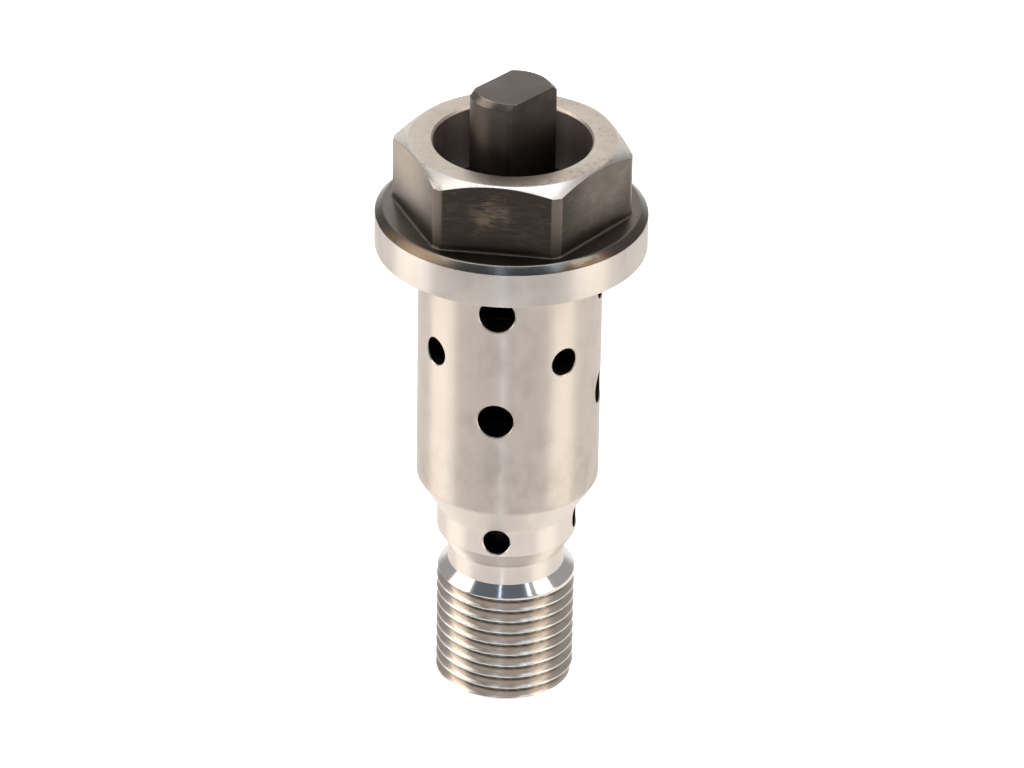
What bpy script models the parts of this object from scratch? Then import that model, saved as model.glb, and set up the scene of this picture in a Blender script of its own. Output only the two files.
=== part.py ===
"""Camshaft adjuster cartridge valve: a hollow left-hand-thread bolt that holds a sprung control spool, a
ported sleeve and an oil inlet with a filter and a ball check valve.

Run with: blender --background --python part.py
The valve stands upright on its threaded end. +Z runs along its axis from the thread to the head, the origin
is the centre of the end face, and one flat of the hexagon faces -Y. Angles are measured from -Y towards +X.
"""

import math

import bmesh
import bpy
from mathutils import Matrix, Vector

MM = 0.001

# Facets of a round shape.
BOLT_SIDES = 48
THREAD_SIDES = 36
PIECE_SIDES = 30
PORT_SIDES = 16
PIN_SIDES = 12

# Gaps between pieces. Real fits are finer; these keep the faceted solids apart.
REST_GAP = 0.3 * MM
RUN_GAP = 0.15 * MM
SEAT_GAP = 0.1 * MM

# Threaded end and neck, from the end face up.
THREAD_DIAMETER = 16.0 * MM
THREAD_PITCH = 1.5 * MM
THREAD_LENGTH = 14.1 * MM
THREAD_DEPTH = 0.92 * MM
THREAD_START = 0.39 * MM
CREST_WIDTH = 0.19 * MM
END_CHAMFER = 0.6 * MM
UNDERCUT_DEPTH = 1.25 * MM
UNDERCUT_LENGTH = 2.35 * MM
THREAD_RUN_OUT = 1.1 * MM
NECK_STEP = 1.33 * MM
NECK_LENGTH = 3.3 * MM
NECK_WALL = 2.68 * MM
SHOULDER_SLOPE = 1.6
CENTRE_DRILL_RADIUS = 2.0 * MM
CENTRE_DRILL_DEPTH = 3.2 * MM

# Radial sizes, from the spool out.
SPOOL_DIAMETER = 12.0 * MM
SLEEVE_WALL = 1.7 * MM
BODY_WALL = 2.5 * MM
STOP_LEDGE = 1.0 * MM
HEAD_WALL = 3.0 * MM
FLANGE_REACH = 3.5 * MM

# Head and flange.
FLANGE_RIM = 4.1 * MM
FLANGE_BEVEL_WIDTH = 0.9 * MM
FLANGE_BEVEL_HEIGHT = 0.8 * MM
HEX_HEIGHT = 8.4 * MM
CORNER_TRIM = 0.28 * MM
TOP_FACE_INSET = 0.25 * MM
HEAD_BEVEL_SLOPE = math.tan(math.radians(30))
BORE_BEVEL = 0.25 * MM

# Ports.
PORT_COUNT = 4
WORK_PORT_DIAMETER = 4.1 * MM
PILOT_PORT_DIAMETER = 3.3 * MM
INLET_PORT_DIAMETER = 3.1 * MM
INLET_RISE = 0.25 * MM
PORT_SPACING = 6.8 * MM
SEAT_TO_PORT = 3.9 * MM
PILOT_TURN = math.radians(45)

# Spool.
STROKE = 3.2 * MM
WINDOW_HEIGHT = 3.2 * MM
WINDOW_WIDTH = 4.0 * MM
LAND_OVERLAP = 0.2 * MM
NOSE_STEP = 1.05 * MM
NOSE_FLAT_DEPTH = 1.89 * MM
NOSE_REACH = 6.45 * MM
NOSE_BEVEL = 0.7 * MM
NOSE_TURN = math.radians(56.8)
COLLAR_HEIGHT = 1.8 * MM
GROOVE_DEPTH = 1.4 * MM
SPOOL_WALL = 1.9 * MM
TAIL_LENGTH = 3.25 * MM
TAIL_STEP = 0.5 * MM
TAIL_WALL = 1.3 * MM
SPRING_POCKET = 5.2 * MM
DRAIN_DIAMETER = 1.4 * MM

# Return spring and its seat.
RETURN_WIRE = 0.7 * MM
RETURN_COILS = 6.0
SEAT_DISC = 1.0 * MM
SEAT_LIP = 0.35 * MM
DISC_CLEARANCE = 0.6 * MM

# Sleeve.
CHANNEL_DEPTH = 0.75 * MM
CHANNEL_WIDTH = 2.6 * MM
LOCATING_PIN_DIAMETER = 1.2 * MM
LOCATING_PIN_LENGTH = 3.0 * MM

# Stop washer and retaining ring.
STOP_WASHER = 0.9 * MM
WASHER_HOLE_GAP = 0.4 * MM
RING_THICKNESS = 1.0 * MM
RING_GROOVE_DEPTH = 0.5 * MM
RING_WIDTH = 1.4 * MM
RING_OPENING = math.radians(50)
LUG_RADIUS = 1.3 * MM
LUG_HOLE_RADIUS = 0.6 * MM

# Oil inlet.
FLOOR_DEPTH = 1.3 * MM
FILTER_FLANGE = 0.45 * MM
FILTER_FRAME_WALL = 0.5 * MM
FILTER_MESH_WALL = 0.2 * MM
FILTER_MARGIN = 0.15 * MM
VALVE_SEAT = 0.9 * MM
ORIFICE_RADIUS = 1.35 * MM
BALL_RADIUS = 1.9 * MM
BALL_LIFT = 0.9 * MM
CHECK_WIRE = 0.25 * MM
CHECK_COILS = 3.0
CHECK_SPRING_RADIUS = 1.3 * MM
CHECK_SPRING_LENGTH = 2.15 * MM
CAGE_WALL = 0.7 * MM
CAGE_WINDOW_WIDTH = 2.6 * MM
BORE_SHOULDER = 1.1 * MM

# How far a cutter runs past what it cuts, and how deep a joined shape starts inside its neighbour.
PAST = 1.0 * MM

# --- Sizes that follow ---

spool_radius = SPOOL_DIAMETER / 2
sleeve_inside = spool_radius + RUN_GAP
sleeve_outside = sleeve_inside + SLEEVE_WALL
bolt_bore = sleeve_outside + RUN_GAP
body_radius = bolt_bore + BODY_WALL
head_bore = bolt_bore + STOP_LEDGE
hex_apothem = head_bore + HEAD_WALL
flange_radius = hex_apothem + FLANGE_REACH
hex_corner = hex_apothem / math.cos(math.radians(30))
top_face_radius = hex_apothem - TOP_FACE_INSET

thread_radius = THREAD_DIAMETER / 2
undercut_radius = thread_radius - UNDERCUT_DEPTH
neck_radius = undercut_radius + NECK_STEP
chamber_radius = neck_radius - NECK_WALL

undercut_low = THREAD_LENGTH + THREAD_RUN_OUT
undercut_top = undercut_low + UNDERCUT_LENGTH
neck_low = undercut_top + NECK_STEP * SHOULDER_SLOPE
neck_top = neck_low + NECK_LENGTH
body_low = neck_top + (body_radius - neck_radius) * SHOULDER_SLOPE

chamber_floor = neck_low - FLOOR_DEPTH
inlet_height = (neck_low + neck_top) / 2 + INLET_RISE
filter_low = chamber_floor + REST_GAP
filter_top = inlet_height + INLET_PORT_DIAMETER / 2 + FILTER_MARGIN
filter_radius = chamber_radius - RUN_GAP
seat_low = filter_top + REST_GAP
seat_top = seat_low + VALVE_SEAT
ball_height = seat_top + math.sqrt(BALL_RADIUS**2 - ORIFICE_RADIUS**2) + SEAT_GAP
check_spring_low = ball_height + math.sqrt(BALL_RADIUS**2 - CHECK_SPRING_RADIUS**2) + SEAT_GAP
cage_roof = check_spring_low + CHECK_SPRING_LENGTH + SEAT_GAP
cage_top = cage_roof + CAGE_WALL
bore_floor = cage_roof - BALL_RADIUS - BORE_SHOULDER
bore_low = bore_floor + BORE_SHOULDER

sleeve_low = cage_top
disc_low = sleeve_low + REST_GAP
disc_top = disc_low + SEAT_DISC
disc_radius = sleeve_inside + SEAT_LIP
tail_low = disc_top + DISC_CLEARANCE + STROKE
land_height = WINDOW_HEIGHT + 2 * LAND_OVERLAP
land_b_low = tail_low + TAIL_LENGTH
port_b = land_b_low + land_height / 2 - STROKE / 2
port_c = port_b + PORT_SPACING
port_a = port_c + PORT_SPACING
land_a_low = port_a + STROKE / 2 - land_height / 2
seat_height = port_a + SEAT_TO_PORT
rim_top = seat_height + FLANGE_RIM
flange_top = rim_top + FLANGE_BEVEL_HEIGHT
head_top = flange_top + HEX_HEIGHT

collar_low = port_a + WINDOW_HEIGHT / 2 + STROKE + REST_GAP
ledge = collar_low + COLLAR_HEIGHT
washer_low = ledge + REST_GAP
washer_top = washer_low + STOP_WASHER
ring_low = washer_top + REST_GAP
ring_top = ring_low + RING_THICKNESS
nose_radius = spool_radius - NOSE_STEP
nose_top = head_top + NOSE_REACH
nose_flat = nose_radius - NOSE_FLAT_DEPTH
groove_radius = spool_radius - GROOVE_DEPTH
spool_bore = groove_radius - SPOOL_WALL
tail_radius = spool_radius - TAIL_STEP
pocket_radius = tail_radius - TAIL_WALL
pocket_roof = tail_low + SPRING_POCKET
sleeve_top = ledge


# --- Shape helpers ---


def material(name, colour, roughness, metallic):
    made = bpy.data.materials.new(name)
    made.use_nodes = True
    shader = made.node_tree.nodes["Principled BSDF"]
    shader.inputs["Base Color"].default_value = (*colour, 1.0)
    shader.inputs["Roughness"].default_value = roughness
    shader.inputs["Metallic"].default_value = metallic
    return made


def finish(name, bm, stuff=None, crease=30):
    """The bmesh as an object with outward normals. One with no material is a cutter or a guide."""
    bmesh.ops.remove_doubles(bm, verts=bm.verts, dist=1e-7)
    bmesh.ops.recalc_face_normals(bm, faces=bm.faces)
    mesh = bpy.data.meshes.new(name)
    bm.to_mesh(mesh)
    bm.free()
    mesh.shade_smooth()
    mesh.set_sharp_from_angle(angle=math.radians(crease))
    made = bpy.data.objects.new(name, mesh)
    bpy.context.scene.collection.objects.link(made)
    if stuff:
        mesh.materials.append(stuff)
    else:
        made.hide_render = True
        made.display_type = "WIRE"
    return made


def turned(name, profile, stuff=None, sides=PIECE_SIDES):
    """A turned shape from (radius, height) points, in a closed ring or from the axis back to the axis."""
    bm = bmesh.new()
    corners = [bm.verts.new((0, -radius, height)) for radius, height in profile]
    on_axis = profile[0][0] == 0
    ends = corners[1:] if on_axis else corners[1:] + corners[:1]
    for low, high in zip(corners, ends):
        bm.edges.new((low, high))
    bmesh.ops.spin(
        bm,
        geom=bm.verts[:] + bm.edges[:],
        cent=(0, 0, 0),
        axis=(0, 0, 1),
        angle=math.tau,
        steps=sides,
        use_merge=True,
    )
    bmesh.ops.remove_doubles(bm, verts=bm.verts, dist=1e-7)
    return finish(name, bm, stuff)


def block(bm, size, centre, turn=0.0):
    """A box of that size, turned about Z after it is placed."""
    place = Matrix.Rotation(turn, 4, "Z") @ Matrix.Translation(centre) @ Matrix.Diagonal((*size, 1))
    bmesh.ops.create_cube(bm, size=1, matrix=place)


def blocks_around(name, size, distance, height, turn=0.0, count=PORT_COUNT):
    """Boxes set round the axis at that distance, the first towards -Y."""
    bm = bmesh.new()
    for step in range(count):
        block(bm, size, Vector((0, -distance, height)), turn + step * math.tau / count)
    return finish(name, bm)


def rod(bm, radius, low, high, sides, place=None):
    """A cylinder along Z from low to high, moved by place."""
    centre = Matrix.Translation((0, 0, (low + high) / 2))
    bmesh.ops.create_cone(
        bm,
        cap_ends=True,
        segments=sides,
        radius1=radius,
        radius2=radius,
        depth=high - low,
        matrix=(place or Matrix()) @ centre,
    )


def quarter_facet(sides):
    return Matrix.Rotation(math.tau / sides / 4, 4, "Z")


def drillings(name, diameter, inner, outer, height, turn=0.0, count=PORT_COUNT, sides=PORT_SIDES):
    """Radial holes round the axis, as one cutter, from the inner to the outer radius. Each is turned about
    itself by a quarter of a facet, so that none of its corners falls on an edge of the faceted body."""
    bm = bmesh.new()
    outward = Matrix.Rotation(math.pi / 2, 4, "X") @ quarter_facet(sides)
    for step in range(count):
        place = Matrix.Translation((0, 0, height)) @ Matrix.Rotation(turn + step * math.tau / count, 4, "Z")
        rod(bm, diameter / 2, inner, outer, sides, place @ outward)
    return finish(name, bm)


def boolean(body, operation, other):
    change = body.modifiers.new(other.name, "BOOLEAN")
    change.operation = operation
    change.object = other
    change.solver = "EXACT"


def cut(body, *cutters):
    for cutter in cutters:
        boolean(body, "DIFFERENCE", cutter)


def coil(name, radius, wire, low, high, turns, stuff, sides=14):
    """A compression spring between two heights, wound right-handed, with its end turns laid flat."""
    steps = round(turns * sides)
    first, last = low + wire / 2, high - wire / 2
    spline_data = bpy.data.curves.new(name, "CURVE")
    spline_data.dimensions = "3D"
    spline_data.bevel_depth = wire / 2
    spline_data.bevel_resolution = 1
    spline_data.use_fill_caps = True
    spline = spline_data.splines.new("POLY")
    spline.points.add(steps)
    flat = 0.75
    for step in range(steps + 1):
        turn = step / sides
        rise = min(max((turn - flat) / (turns - 2 * flat), 0), 1)
        # The flat end turns creep by a little over a wire's width, so that they lie beside the next turn.
        creep = wire * 1.15
        ends = min(turn, flat) / flat + max(turn - turns + flat, 0) / flat
        height = first + creep * ends + rise * (last - first - 2 * creep)
        angle = turn * math.tau
        spline.points[step].co = (radius * math.sin(angle), -radius * math.cos(angle), height, 1)
    made = bpy.data.objects.new(name, spline_data)
    spline_data.materials.append(stuff)
    bpy.context.scene.collection.objects.link(made)
    return made


# --- The bolt ---


def hex_head():
    """The hexagon, its corners turned down and its top bevelled at 30 degrees."""
    corner = hex_corner - CORNER_TRIM
    bevel_low = head_top - (corner - top_face_radius) * HEAD_BEVEL_SLOPE
    bottom = flange_top - PAST
    side = [(corner, bottom), (corner, bevel_low)]
    outline = [(0, bottom), *side, (top_face_radius, head_top), (0, head_top)]
    blank = turned("head_blank", outline, sides=BOLT_SIDES)
    bm = bmesh.new()
    rod(bm, hex_corner, bottom - PAST, head_top + PAST, 6, Matrix.Rotation(math.radians(30), 4, "Z"))
    boolean(blank, "INTERSECT", finish("hexagon_bar", bm))
    return blank


def thread():
    """The left-hand thread: a stack of V ridges turned once round as it drops by one pitch, then trimmed."""
    bm = bmesh.new()
    root = thread_radius - THREAD_DEPTH
    ridges = math.ceil(undercut_low / THREAD_PITCH) + 4
    points = []
    for ridge in range(ridges):
        low = THREAD_START + (ridge - 2) * THREAD_PITCH
        points.append((thread_radius, low))
        points.append((thread_radius, low + CREST_WIDTH))
        points.append((root, low + (THREAD_PITCH + CREST_WIDTH) / 2))
    corners = [bm.verts.new((0, -radius, height)) for radius, height in points]
    for low, high in zip(corners, corners[1:]):
        bm.edges.new((low, high))
    bmesh.ops.spin(
        bm,
        geom=bm.verts[:] + bm.edges[:],
        cent=(0, 0, 0),
        axis=(0, 0, 1),
        dvec=(0, 0, -THREAD_PITCH / THREAD_SIDES),
        angle=math.tau,
        steps=THREAD_SIDES,
    )
    bmesh.ops.remove_doubles(bm, verts=bm.verts, dist=1e-7)
    rims = [edge for edge in bm.edges if edge.is_boundary]
    bmesh.ops.triangulate(bm, faces=bmesh.ops.holes_fill(bm, edges=rims, sides=0)["faces"])
    made = finish("thread", bm)
    outside = thread_radius + REST_GAP
    inside = undercut_radius - REST_GAP
    outline = [
        (0, 0),
        (thread_radius - END_CHAMFER, 0),
        (outside, END_CHAMFER + REST_GAP),
        (outside, THREAD_LENGTH - REST_GAP),
        (inside, undercut_low + REST_GAP),
        (0, undercut_low + REST_GAP),
    ]
    boolean(made, "INTERSECT", turned("thread_blank", outline, sides=THREAD_SIDES))
    return made


def bolt_bore_cutter():
    """All that is bored from the head: the tool bore, ring groove, sleeve bore and inlet chamber."""
    groove_low = ring_low - REST_GAP / 2
    groove_top = ring_top + REST_GAP / 2
    outline = [
        (0, chamber_floor),
        (chamber_radius, chamber_floor),
        (chamber_radius, bore_floor - (bolt_bore - chamber_radius - BORE_SHOULDER) / 2),
        (bolt_bore - BORE_SHOULDER, bore_floor),
        (bolt_bore, bore_low),
        (bolt_bore, ledge),
        (head_bore, ledge),
        (head_bore, groove_low),
        (head_bore + RING_GROOVE_DEPTH, groove_low),
        (head_bore + RING_GROOVE_DEPTH, groove_top),
        (head_bore, groove_top),
        (head_bore, head_top - BORE_BEVEL),
        (head_bore + BORE_BEVEL, head_top),
        (head_bore + BORE_BEVEL, head_top + PAST),
        (0, head_top + PAST),
    ]
    return turned("bore_cutter", outline, sides=BOLT_SIDES)


def port_cutters():
    """The rows of radial ports: two to the adjuster's chambers, a pilot row between, and the oil inlet."""
    inner, outer = sleeve_outside - PAST, body_radius + PAST
    inlet_inner, inlet_outer = chamber_radius - PAST, neck_radius + PAST
    return [
        drillings("port_a_cutter", WORK_PORT_DIAMETER, inner, outer, port_a),
        drillings("port_b_cutter", WORK_PORT_DIAMETER, inner, outer, port_b),
        drillings("port_c_cutter", PILOT_PORT_DIAMETER, inner, outer, port_c, PILOT_TURN),
        drillings("inlet_cutter", INLET_PORT_DIAMETER, inlet_inner, inlet_outer, inlet_height),
    ]


def locating_pin_slot(name):
    """The round slot that the locating pin lies in, half in the bolt and half in the sleeve."""
    bm = bmesh.new()
    radius = LOCATING_PIN_DIAMETER / 2 + RUN_GAP
    low = sleeve_top - LOCATING_PIN_LENGTH - REST_GAP
    rod(bm, radius, low, sleeve_top + PAST, PIN_SIDES, locating_pin_place())
    return finish(name, bm)


def locating_pin_place():
    """Where the pin stands: on the bolt's bore, in line with one pilot port."""
    outward = Matrix.Translation((0, -bolt_bore, 0))
    return Matrix.Rotation(PILOT_TURN, 4, "Z") @ outward @ quarter_facet(PIN_SIDES)


def valve_bolt(steel):
    outline = [
        (0, THREAD_LENGTH - PAST),
        (undercut_radius, THREAD_LENGTH - PAST),
        (undercut_radius, undercut_top),
        (neck_radius, neck_low),
        (neck_radius, neck_top),
        (body_radius, body_low),
        (body_radius, seat_height),
        (flange_radius, seat_height),
        (flange_radius, rim_top),
        (flange_radius - FLANGE_BEVEL_WIDTH, flange_top),
        (0, flange_top),
    ]
    body = turned("valve_bolt", outline, steel, sides=BOLT_SIDES)
    boolean(body, "UNION", hex_head())
    boolean(body, "UNION", thread())
    centre = [(0, -PAST), (CENTRE_DRILL_RADIUS, -PAST), (CENTRE_DRILL_RADIUS, 0), (0, CENTRE_DRILL_DEPTH)]
    cut(body, bolt_bore_cutter(), *port_cutters(), locating_pin_slot("bolt_slot_cutter"))
    cut(body, turned("centre_drill", centre, sides=PIN_SIDES))
    return body


# --- Sleeve, spool and what holds them ---


def control_sleeve(steel):
    """The sleeve round the spool, with port windows, oil channels up its outside and a seat recess below."""
    recess = disc_radius + RUN_GAP
    outline = [
        (recess, sleeve_low),
        (sleeve_outside, sleeve_low),
        (sleeve_outside, sleeve_top),
        (sleeve_inside, sleeve_top),
        (sleeve_inside, disc_top + REST_GAP),
        (recess, disc_top + REST_GAP),
    ]
    body = turned("control_sleeve", outline, steel, sides=BOLT_SIDES)
    through = SLEEVE_WALL + 2 * PAST
    middle = (sleeve_inside + sleeve_outside) / 2
    window = (WINDOW_WIDTH, through, WINDOW_HEIGHT)
    feed = (CHANNEL_WIDTH - 2 * REST_GAP, through, WINDOW_HEIGHT)
    channel_top = port_c + WINDOW_HEIGHT / 2
    channel_low = sleeve_low - PAST
    channel = (CHANNEL_WIDTH, 2 * CHANNEL_DEPTH, channel_top - channel_low)
    channel_middle = (channel_low + channel_top) / 2
    cut(
        body,
        blocks_around("window_a_cutter", window, middle, port_a),
        blocks_around("window_b_cutter", window, middle, port_b),
        blocks_around("channel_cutter", channel, sleeve_outside, channel_middle, PILOT_TURN),
        blocks_around("feed_cutter", feed, middle, port_c - REST_GAP, PILOT_TURN),
        locating_pin_slot("sleeve_slot_cutter"),
    )
    return body


def locating_pin(steel):
    bm = bmesh.new()
    low = sleeve_top - LOCATING_PIN_LENGTH
    rod(bm, LOCATING_PIN_DIAMETER / 2, low, sleeve_top, PIN_SIDES, locating_pin_place())
    return finish("locating_pin", bm, steel)


def spool(steel):
    """The control piston: a nose with two flats, a stop collar, two control lands and a pocketed tail."""
    outline = [
        (pocket_radius, tail_low),
        (tail_radius, tail_low),
        (tail_radius, land_b_low),
        (spool_radius, land_b_low),
        (spool_radius, land_b_low + land_height),
        (groove_radius, land_b_low + land_height),
        (groove_radius, land_a_low),
        (spool_radius, land_a_low),
        (spool_radius, land_a_low + land_height),
        (groove_radius, land_a_low + land_height),
        (groove_radius, collar_low),
        (spool_radius, collar_low),
        (spool_radius, ledge),
        (nose_radius, ledge),
        (nose_radius, nose_top - NOSE_BEVEL),
        (nose_radius - NOSE_BEVEL, nose_top),
        (0, nose_top),
    ]
    bored = [(0, collar_low), (spool_bore, collar_low)]
    pocket = [(spool_bore, pocket_roof), (pocket_radius, pocket_roof)]
    body = turned("spool", bored + pocket + outline, steel)
    wide = 4 * spool_radius
    flat_low = collar_low - REST_GAP
    flats = (wide, wide, nose_top + PAST - flat_low)
    middle = (flat_low + nose_top + PAST) / 2
    upper = (land_a_low + land_height + collar_low) / 2
    drain_turn = NOSE_TURN + math.radians(45)
    cut(
        body,
        drillings("drain_cutter", DRAIN_DIAMETER, 0, spool_radius, upper, drain_turn, sides=8),
        blocks_around("flat_cutter", flats, nose_flat + wide / 2, middle, NOSE_TURN, count=2),
    )
    return body


def stop_washer(steel):
    outline = [
        (nose_radius + WASHER_HOLE_GAP, washer_low),
        (head_bore - RUN_GAP, washer_low),
        (head_bore - RUN_GAP, washer_top),
        (nose_radius + WASHER_HOLE_GAP, washer_top),
    ]
    return turned("stop_washer", outline, steel)


def retaining_ring(steel):
    """An internal circlip: an open ring with a drilled lug at each end."""
    outer = head_bore + RING_GROOVE_DEPTH - RUN_GAP
    inner = outer - RING_WIDTH
    outline = [(inner, ring_low), (outer, ring_low), (outer, ring_top), (inner, ring_top)]
    body = turned("retaining_ring", outline, steel, sides=BOLT_SIDES)
    opening = bmesh.new()
    far = 2 * outer
    half = RING_OPENING / 2
    wedge = [Vector((0, 0)), Vector((-far * math.sin(half), -far)), Vector((far * math.sin(half), -far))]
    face = opening.faces.new([opening.verts.new((p.x, p.y, ring_low - PAST)) for p in wedge])
    grown = bmesh.ops.extrude_face_region(opening, geom=[face])["geom"]
    tops = [part for part in grown if isinstance(part, bmesh.types.BMVert)]
    bmesh.ops.translate(opening, verts=tops, vec=(0, 0, RING_THICKNESS + 2 * PAST))
    cut(body, finish("opening_cutter", opening))
    for side, label in ((-1, "left"), (1, "right")):
        away = inner + RING_WIDTH / 2 - LUG_RADIUS / 2
        place = Matrix.Rotation(side * half * 1.1, 4, "Z") @ Matrix.Translation((0, -away, 0))
        bm = bmesh.new()
        rod(bm, LUG_RADIUS, ring_low, ring_top, PIN_SIDES, place)
        boolean(body, "UNION", finish(label + "_lug", bm))
        bm = bmesh.new()
        rod(bm, LUG_HOLE_RADIUS, ring_low - PAST, ring_top + PAST, PIN_SIDES, place)
        cut(body, finish(label + "_lug_hole", bm))
    return body


def spring_seat(steel):
    """The closed disc under the return spring, with a low boss that centres the spring."""
    boss = pocket_radius - RUN_GAP - RETURN_WIRE - 2 * RUN_GAP
    outline = [
        (0, disc_low),
        (disc_radius, disc_low),
        (disc_radius, disc_top),
        (boss, disc_top),
        (boss, disc_top + DISC_CLEARANCE / 2),
        (0, disc_top + DISC_CLEARANCE / 2),
    ]
    return turned("spring_seat", outline, steel)


def return_spring(steel):
    middle = pocket_radius - RUN_GAP - RETURN_WIRE / 2
    low, high = disc_top + SEAT_GAP, pocket_roof - SEAT_GAP
    return coil("return_spring", middle, RETURN_WIRE, low, high, RETURN_COILS, steel)


# --- Oil inlet ---


def filter_frame(plastic):
    """The moulded frame inside the mesh: two flanges joined by four ribs."""
    outside = filter_radius - FILTER_MESH_WALL - RUN_GAP
    inside = outside - FILTER_FRAME_WALL
    outline = [
        (inside, filter_low),
        (filter_radius, filter_low),
        (filter_radius, filter_low + FILTER_FLANGE),
        (outside, filter_low + FILTER_FLANGE),
        (outside, filter_top - FILTER_FLANGE),
        (filter_radius, filter_top - FILTER_FLANGE),
        (filter_radius, filter_top),
        (inside, filter_top),
    ]
    body = turned("filter_frame", outline, plastic)
    height = filter_top - filter_low - 3 * FILTER_FLANGE
    window = (inside * 1.1, 2 * PAST, height)
    cut(body, blocks_around("frame_window_cutter", window, outside, (filter_low + filter_top) / 2))
    return body


def filter_mesh(steel):
    low, top = filter_low + FILTER_FLANGE + RUN_GAP, filter_top - FILTER_FLANGE - RUN_GAP
    inside = filter_radius - FILTER_MESH_WALL
    outline = [(inside, low), (filter_radius, low), (filter_radius, top), (inside, top)]
    return turned("filter_mesh", outline, steel)


def check_valve_seat(steel):
    """The plate with the orifice that the ball closes. Its upper edge is bevelled for the ball."""
    outline = [
        (ORIFICE_RADIUS, seat_low),
        (filter_radius, seat_low),
        (filter_radius, seat_top),
        (ORIFICE_RADIUS, seat_top),
    ]
    return turned("check_valve_seat", outline, steel)


def check_ball(steel):
    bm = bmesh.new()
    bmesh.ops.create_uvsphere(
        bm, u_segments=16, v_segments=10, radius=BALL_RADIUS, matrix=Matrix.Translation((0, 0, ball_height))
    )
    return finish("check_ball", bm, steel)


def check_valve_cage(steel):
    """The cup over the ball: a foot ring, legs with windows between, and a roof for the small spring."""
    inside = BALL_RADIUS + REST_GAP
    outside = inside + CAGE_WALL
    low = seat_top + REST_GAP
    outline = [
        (0, cage_roof),
        (inside, cage_roof),
        (inside, low),
        (filter_radius, low),
        (filter_radius, low + CAGE_WALL),
        (outside, low + CAGE_WALL),
        (outside, cage_top),
        (0, cage_top),
    ]
    body = turned("check_valve_cage", outline, steel)
    window_low = low + CAGE_WALL + RUN_GAP
    window_top = cage_roof - RUN_GAP
    window = (CAGE_WINDOW_WIDTH, CAGE_WALL + 2 * RUN_GAP + PAST, window_top - window_low)
    middle = (window_low + window_top) / 2
    cut(body, blocks_around("cage_window_cutter", window, (inside + outside) / 2, middle))
    return body


def check_spring(steel):
    return coil(
        "check_spring",
        CHECK_SPRING_RADIUS - CHECK_WIRE / 2,
        CHECK_WIRE,
        check_spring_low,
        check_spring_low + CHECK_SPRING_LENGTH,
        CHECK_COILS,
        steel,
        sides=12,
    )


def main():
    for old in list(bpy.data.objects):
        bpy.data.objects.remove(old)
    turned_steel = material("turned_steel", (0.72, 0.69, 0.65), 0.3, 1.0)
    black_steel = material("black_steel", (0.14, 0.13, 0.12), 0.35, 1.0)
    ground_steel = material("ground_steel", (0.66, 0.66, 0.67), 0.2, 1.0)
    spring_steel = material("spring_steel", (0.5, 0.5, 0.52), 0.3, 1.0)
    moulded_plastic = material("moulded_plastic", (0.05, 0.05, 0.05), 0.5, 0.0)
    valve_bolt(turned_steel)
    control_sleeve(ground_steel)
    locating_pin(ground_steel)
    spool(black_steel)
    stop_washer(ground_steel)
    retaining_ring(spring_steel)
    spring_seat(ground_steel)
    return_spring(spring_steel)
    filter_frame(moulded_plastic)
    filter_mesh(ground_steel)
    check_valve_seat(ground_steel)
    check_ball(ground_steel)
    check_spring(spring_steel)
    check_valve_cage(ground_steel)


main()
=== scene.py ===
"""The looks of the camshaft adjuster cartridge valve: a hollow left-hand-thread bolt with a sprung control
spool.

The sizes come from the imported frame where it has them, and the rest are properties of the scene. Lengths
are in metres. The valve stands on its threaded end with its axis on +Z, and azimuths are measured from -Y
towards +X.
"""

import math

import bpy
import numpy as np
from bpy.props import FloatProperty, FloatVectorProperty, PointerProperty
from mathutils import Matrix, Vector


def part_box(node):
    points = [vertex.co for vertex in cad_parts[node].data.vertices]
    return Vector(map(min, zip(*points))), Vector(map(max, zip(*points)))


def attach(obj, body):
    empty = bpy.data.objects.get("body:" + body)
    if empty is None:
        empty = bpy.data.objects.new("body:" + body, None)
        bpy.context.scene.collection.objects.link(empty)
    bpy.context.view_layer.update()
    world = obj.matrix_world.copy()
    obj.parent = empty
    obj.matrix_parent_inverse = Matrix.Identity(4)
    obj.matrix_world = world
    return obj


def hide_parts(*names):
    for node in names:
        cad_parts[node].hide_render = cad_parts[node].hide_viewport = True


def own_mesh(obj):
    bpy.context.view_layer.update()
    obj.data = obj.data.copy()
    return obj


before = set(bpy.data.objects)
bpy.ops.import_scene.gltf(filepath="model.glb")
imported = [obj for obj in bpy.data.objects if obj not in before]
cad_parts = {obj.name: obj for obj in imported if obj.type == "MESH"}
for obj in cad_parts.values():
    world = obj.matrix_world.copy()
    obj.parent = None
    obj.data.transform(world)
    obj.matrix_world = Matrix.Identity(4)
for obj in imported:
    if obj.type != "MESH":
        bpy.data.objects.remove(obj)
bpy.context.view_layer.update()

bl_info = {
    "name": "Cartridge valve looks",
    "version": (1, 0, 0),
    "blender": (4, 5, 0),
    "location": "View3D > Sidebar > Valve",
    "description": "Builds the finished pieces of a camshaft adjuster cartridge valve over its packed frame",
    "category": "Object",
}

MM = 0.001

# Ports in each row, points round a hole, and degrees in a radian.
PORTS = 4
OUTLINE_POINTS = 56
DEGREES = 180 / math.pi

# How far the spool is pushed in and the check ball lifts.
SPOOL_TRAVEL = 3.2 * MM
BALL_TRAVEL = 0.9 * MM

# How far a cutter reaches past the surface it cuts, and the gap round the locating pin.
PAST = 1 * MM
PIN_GAP = 0.02 * MM

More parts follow.
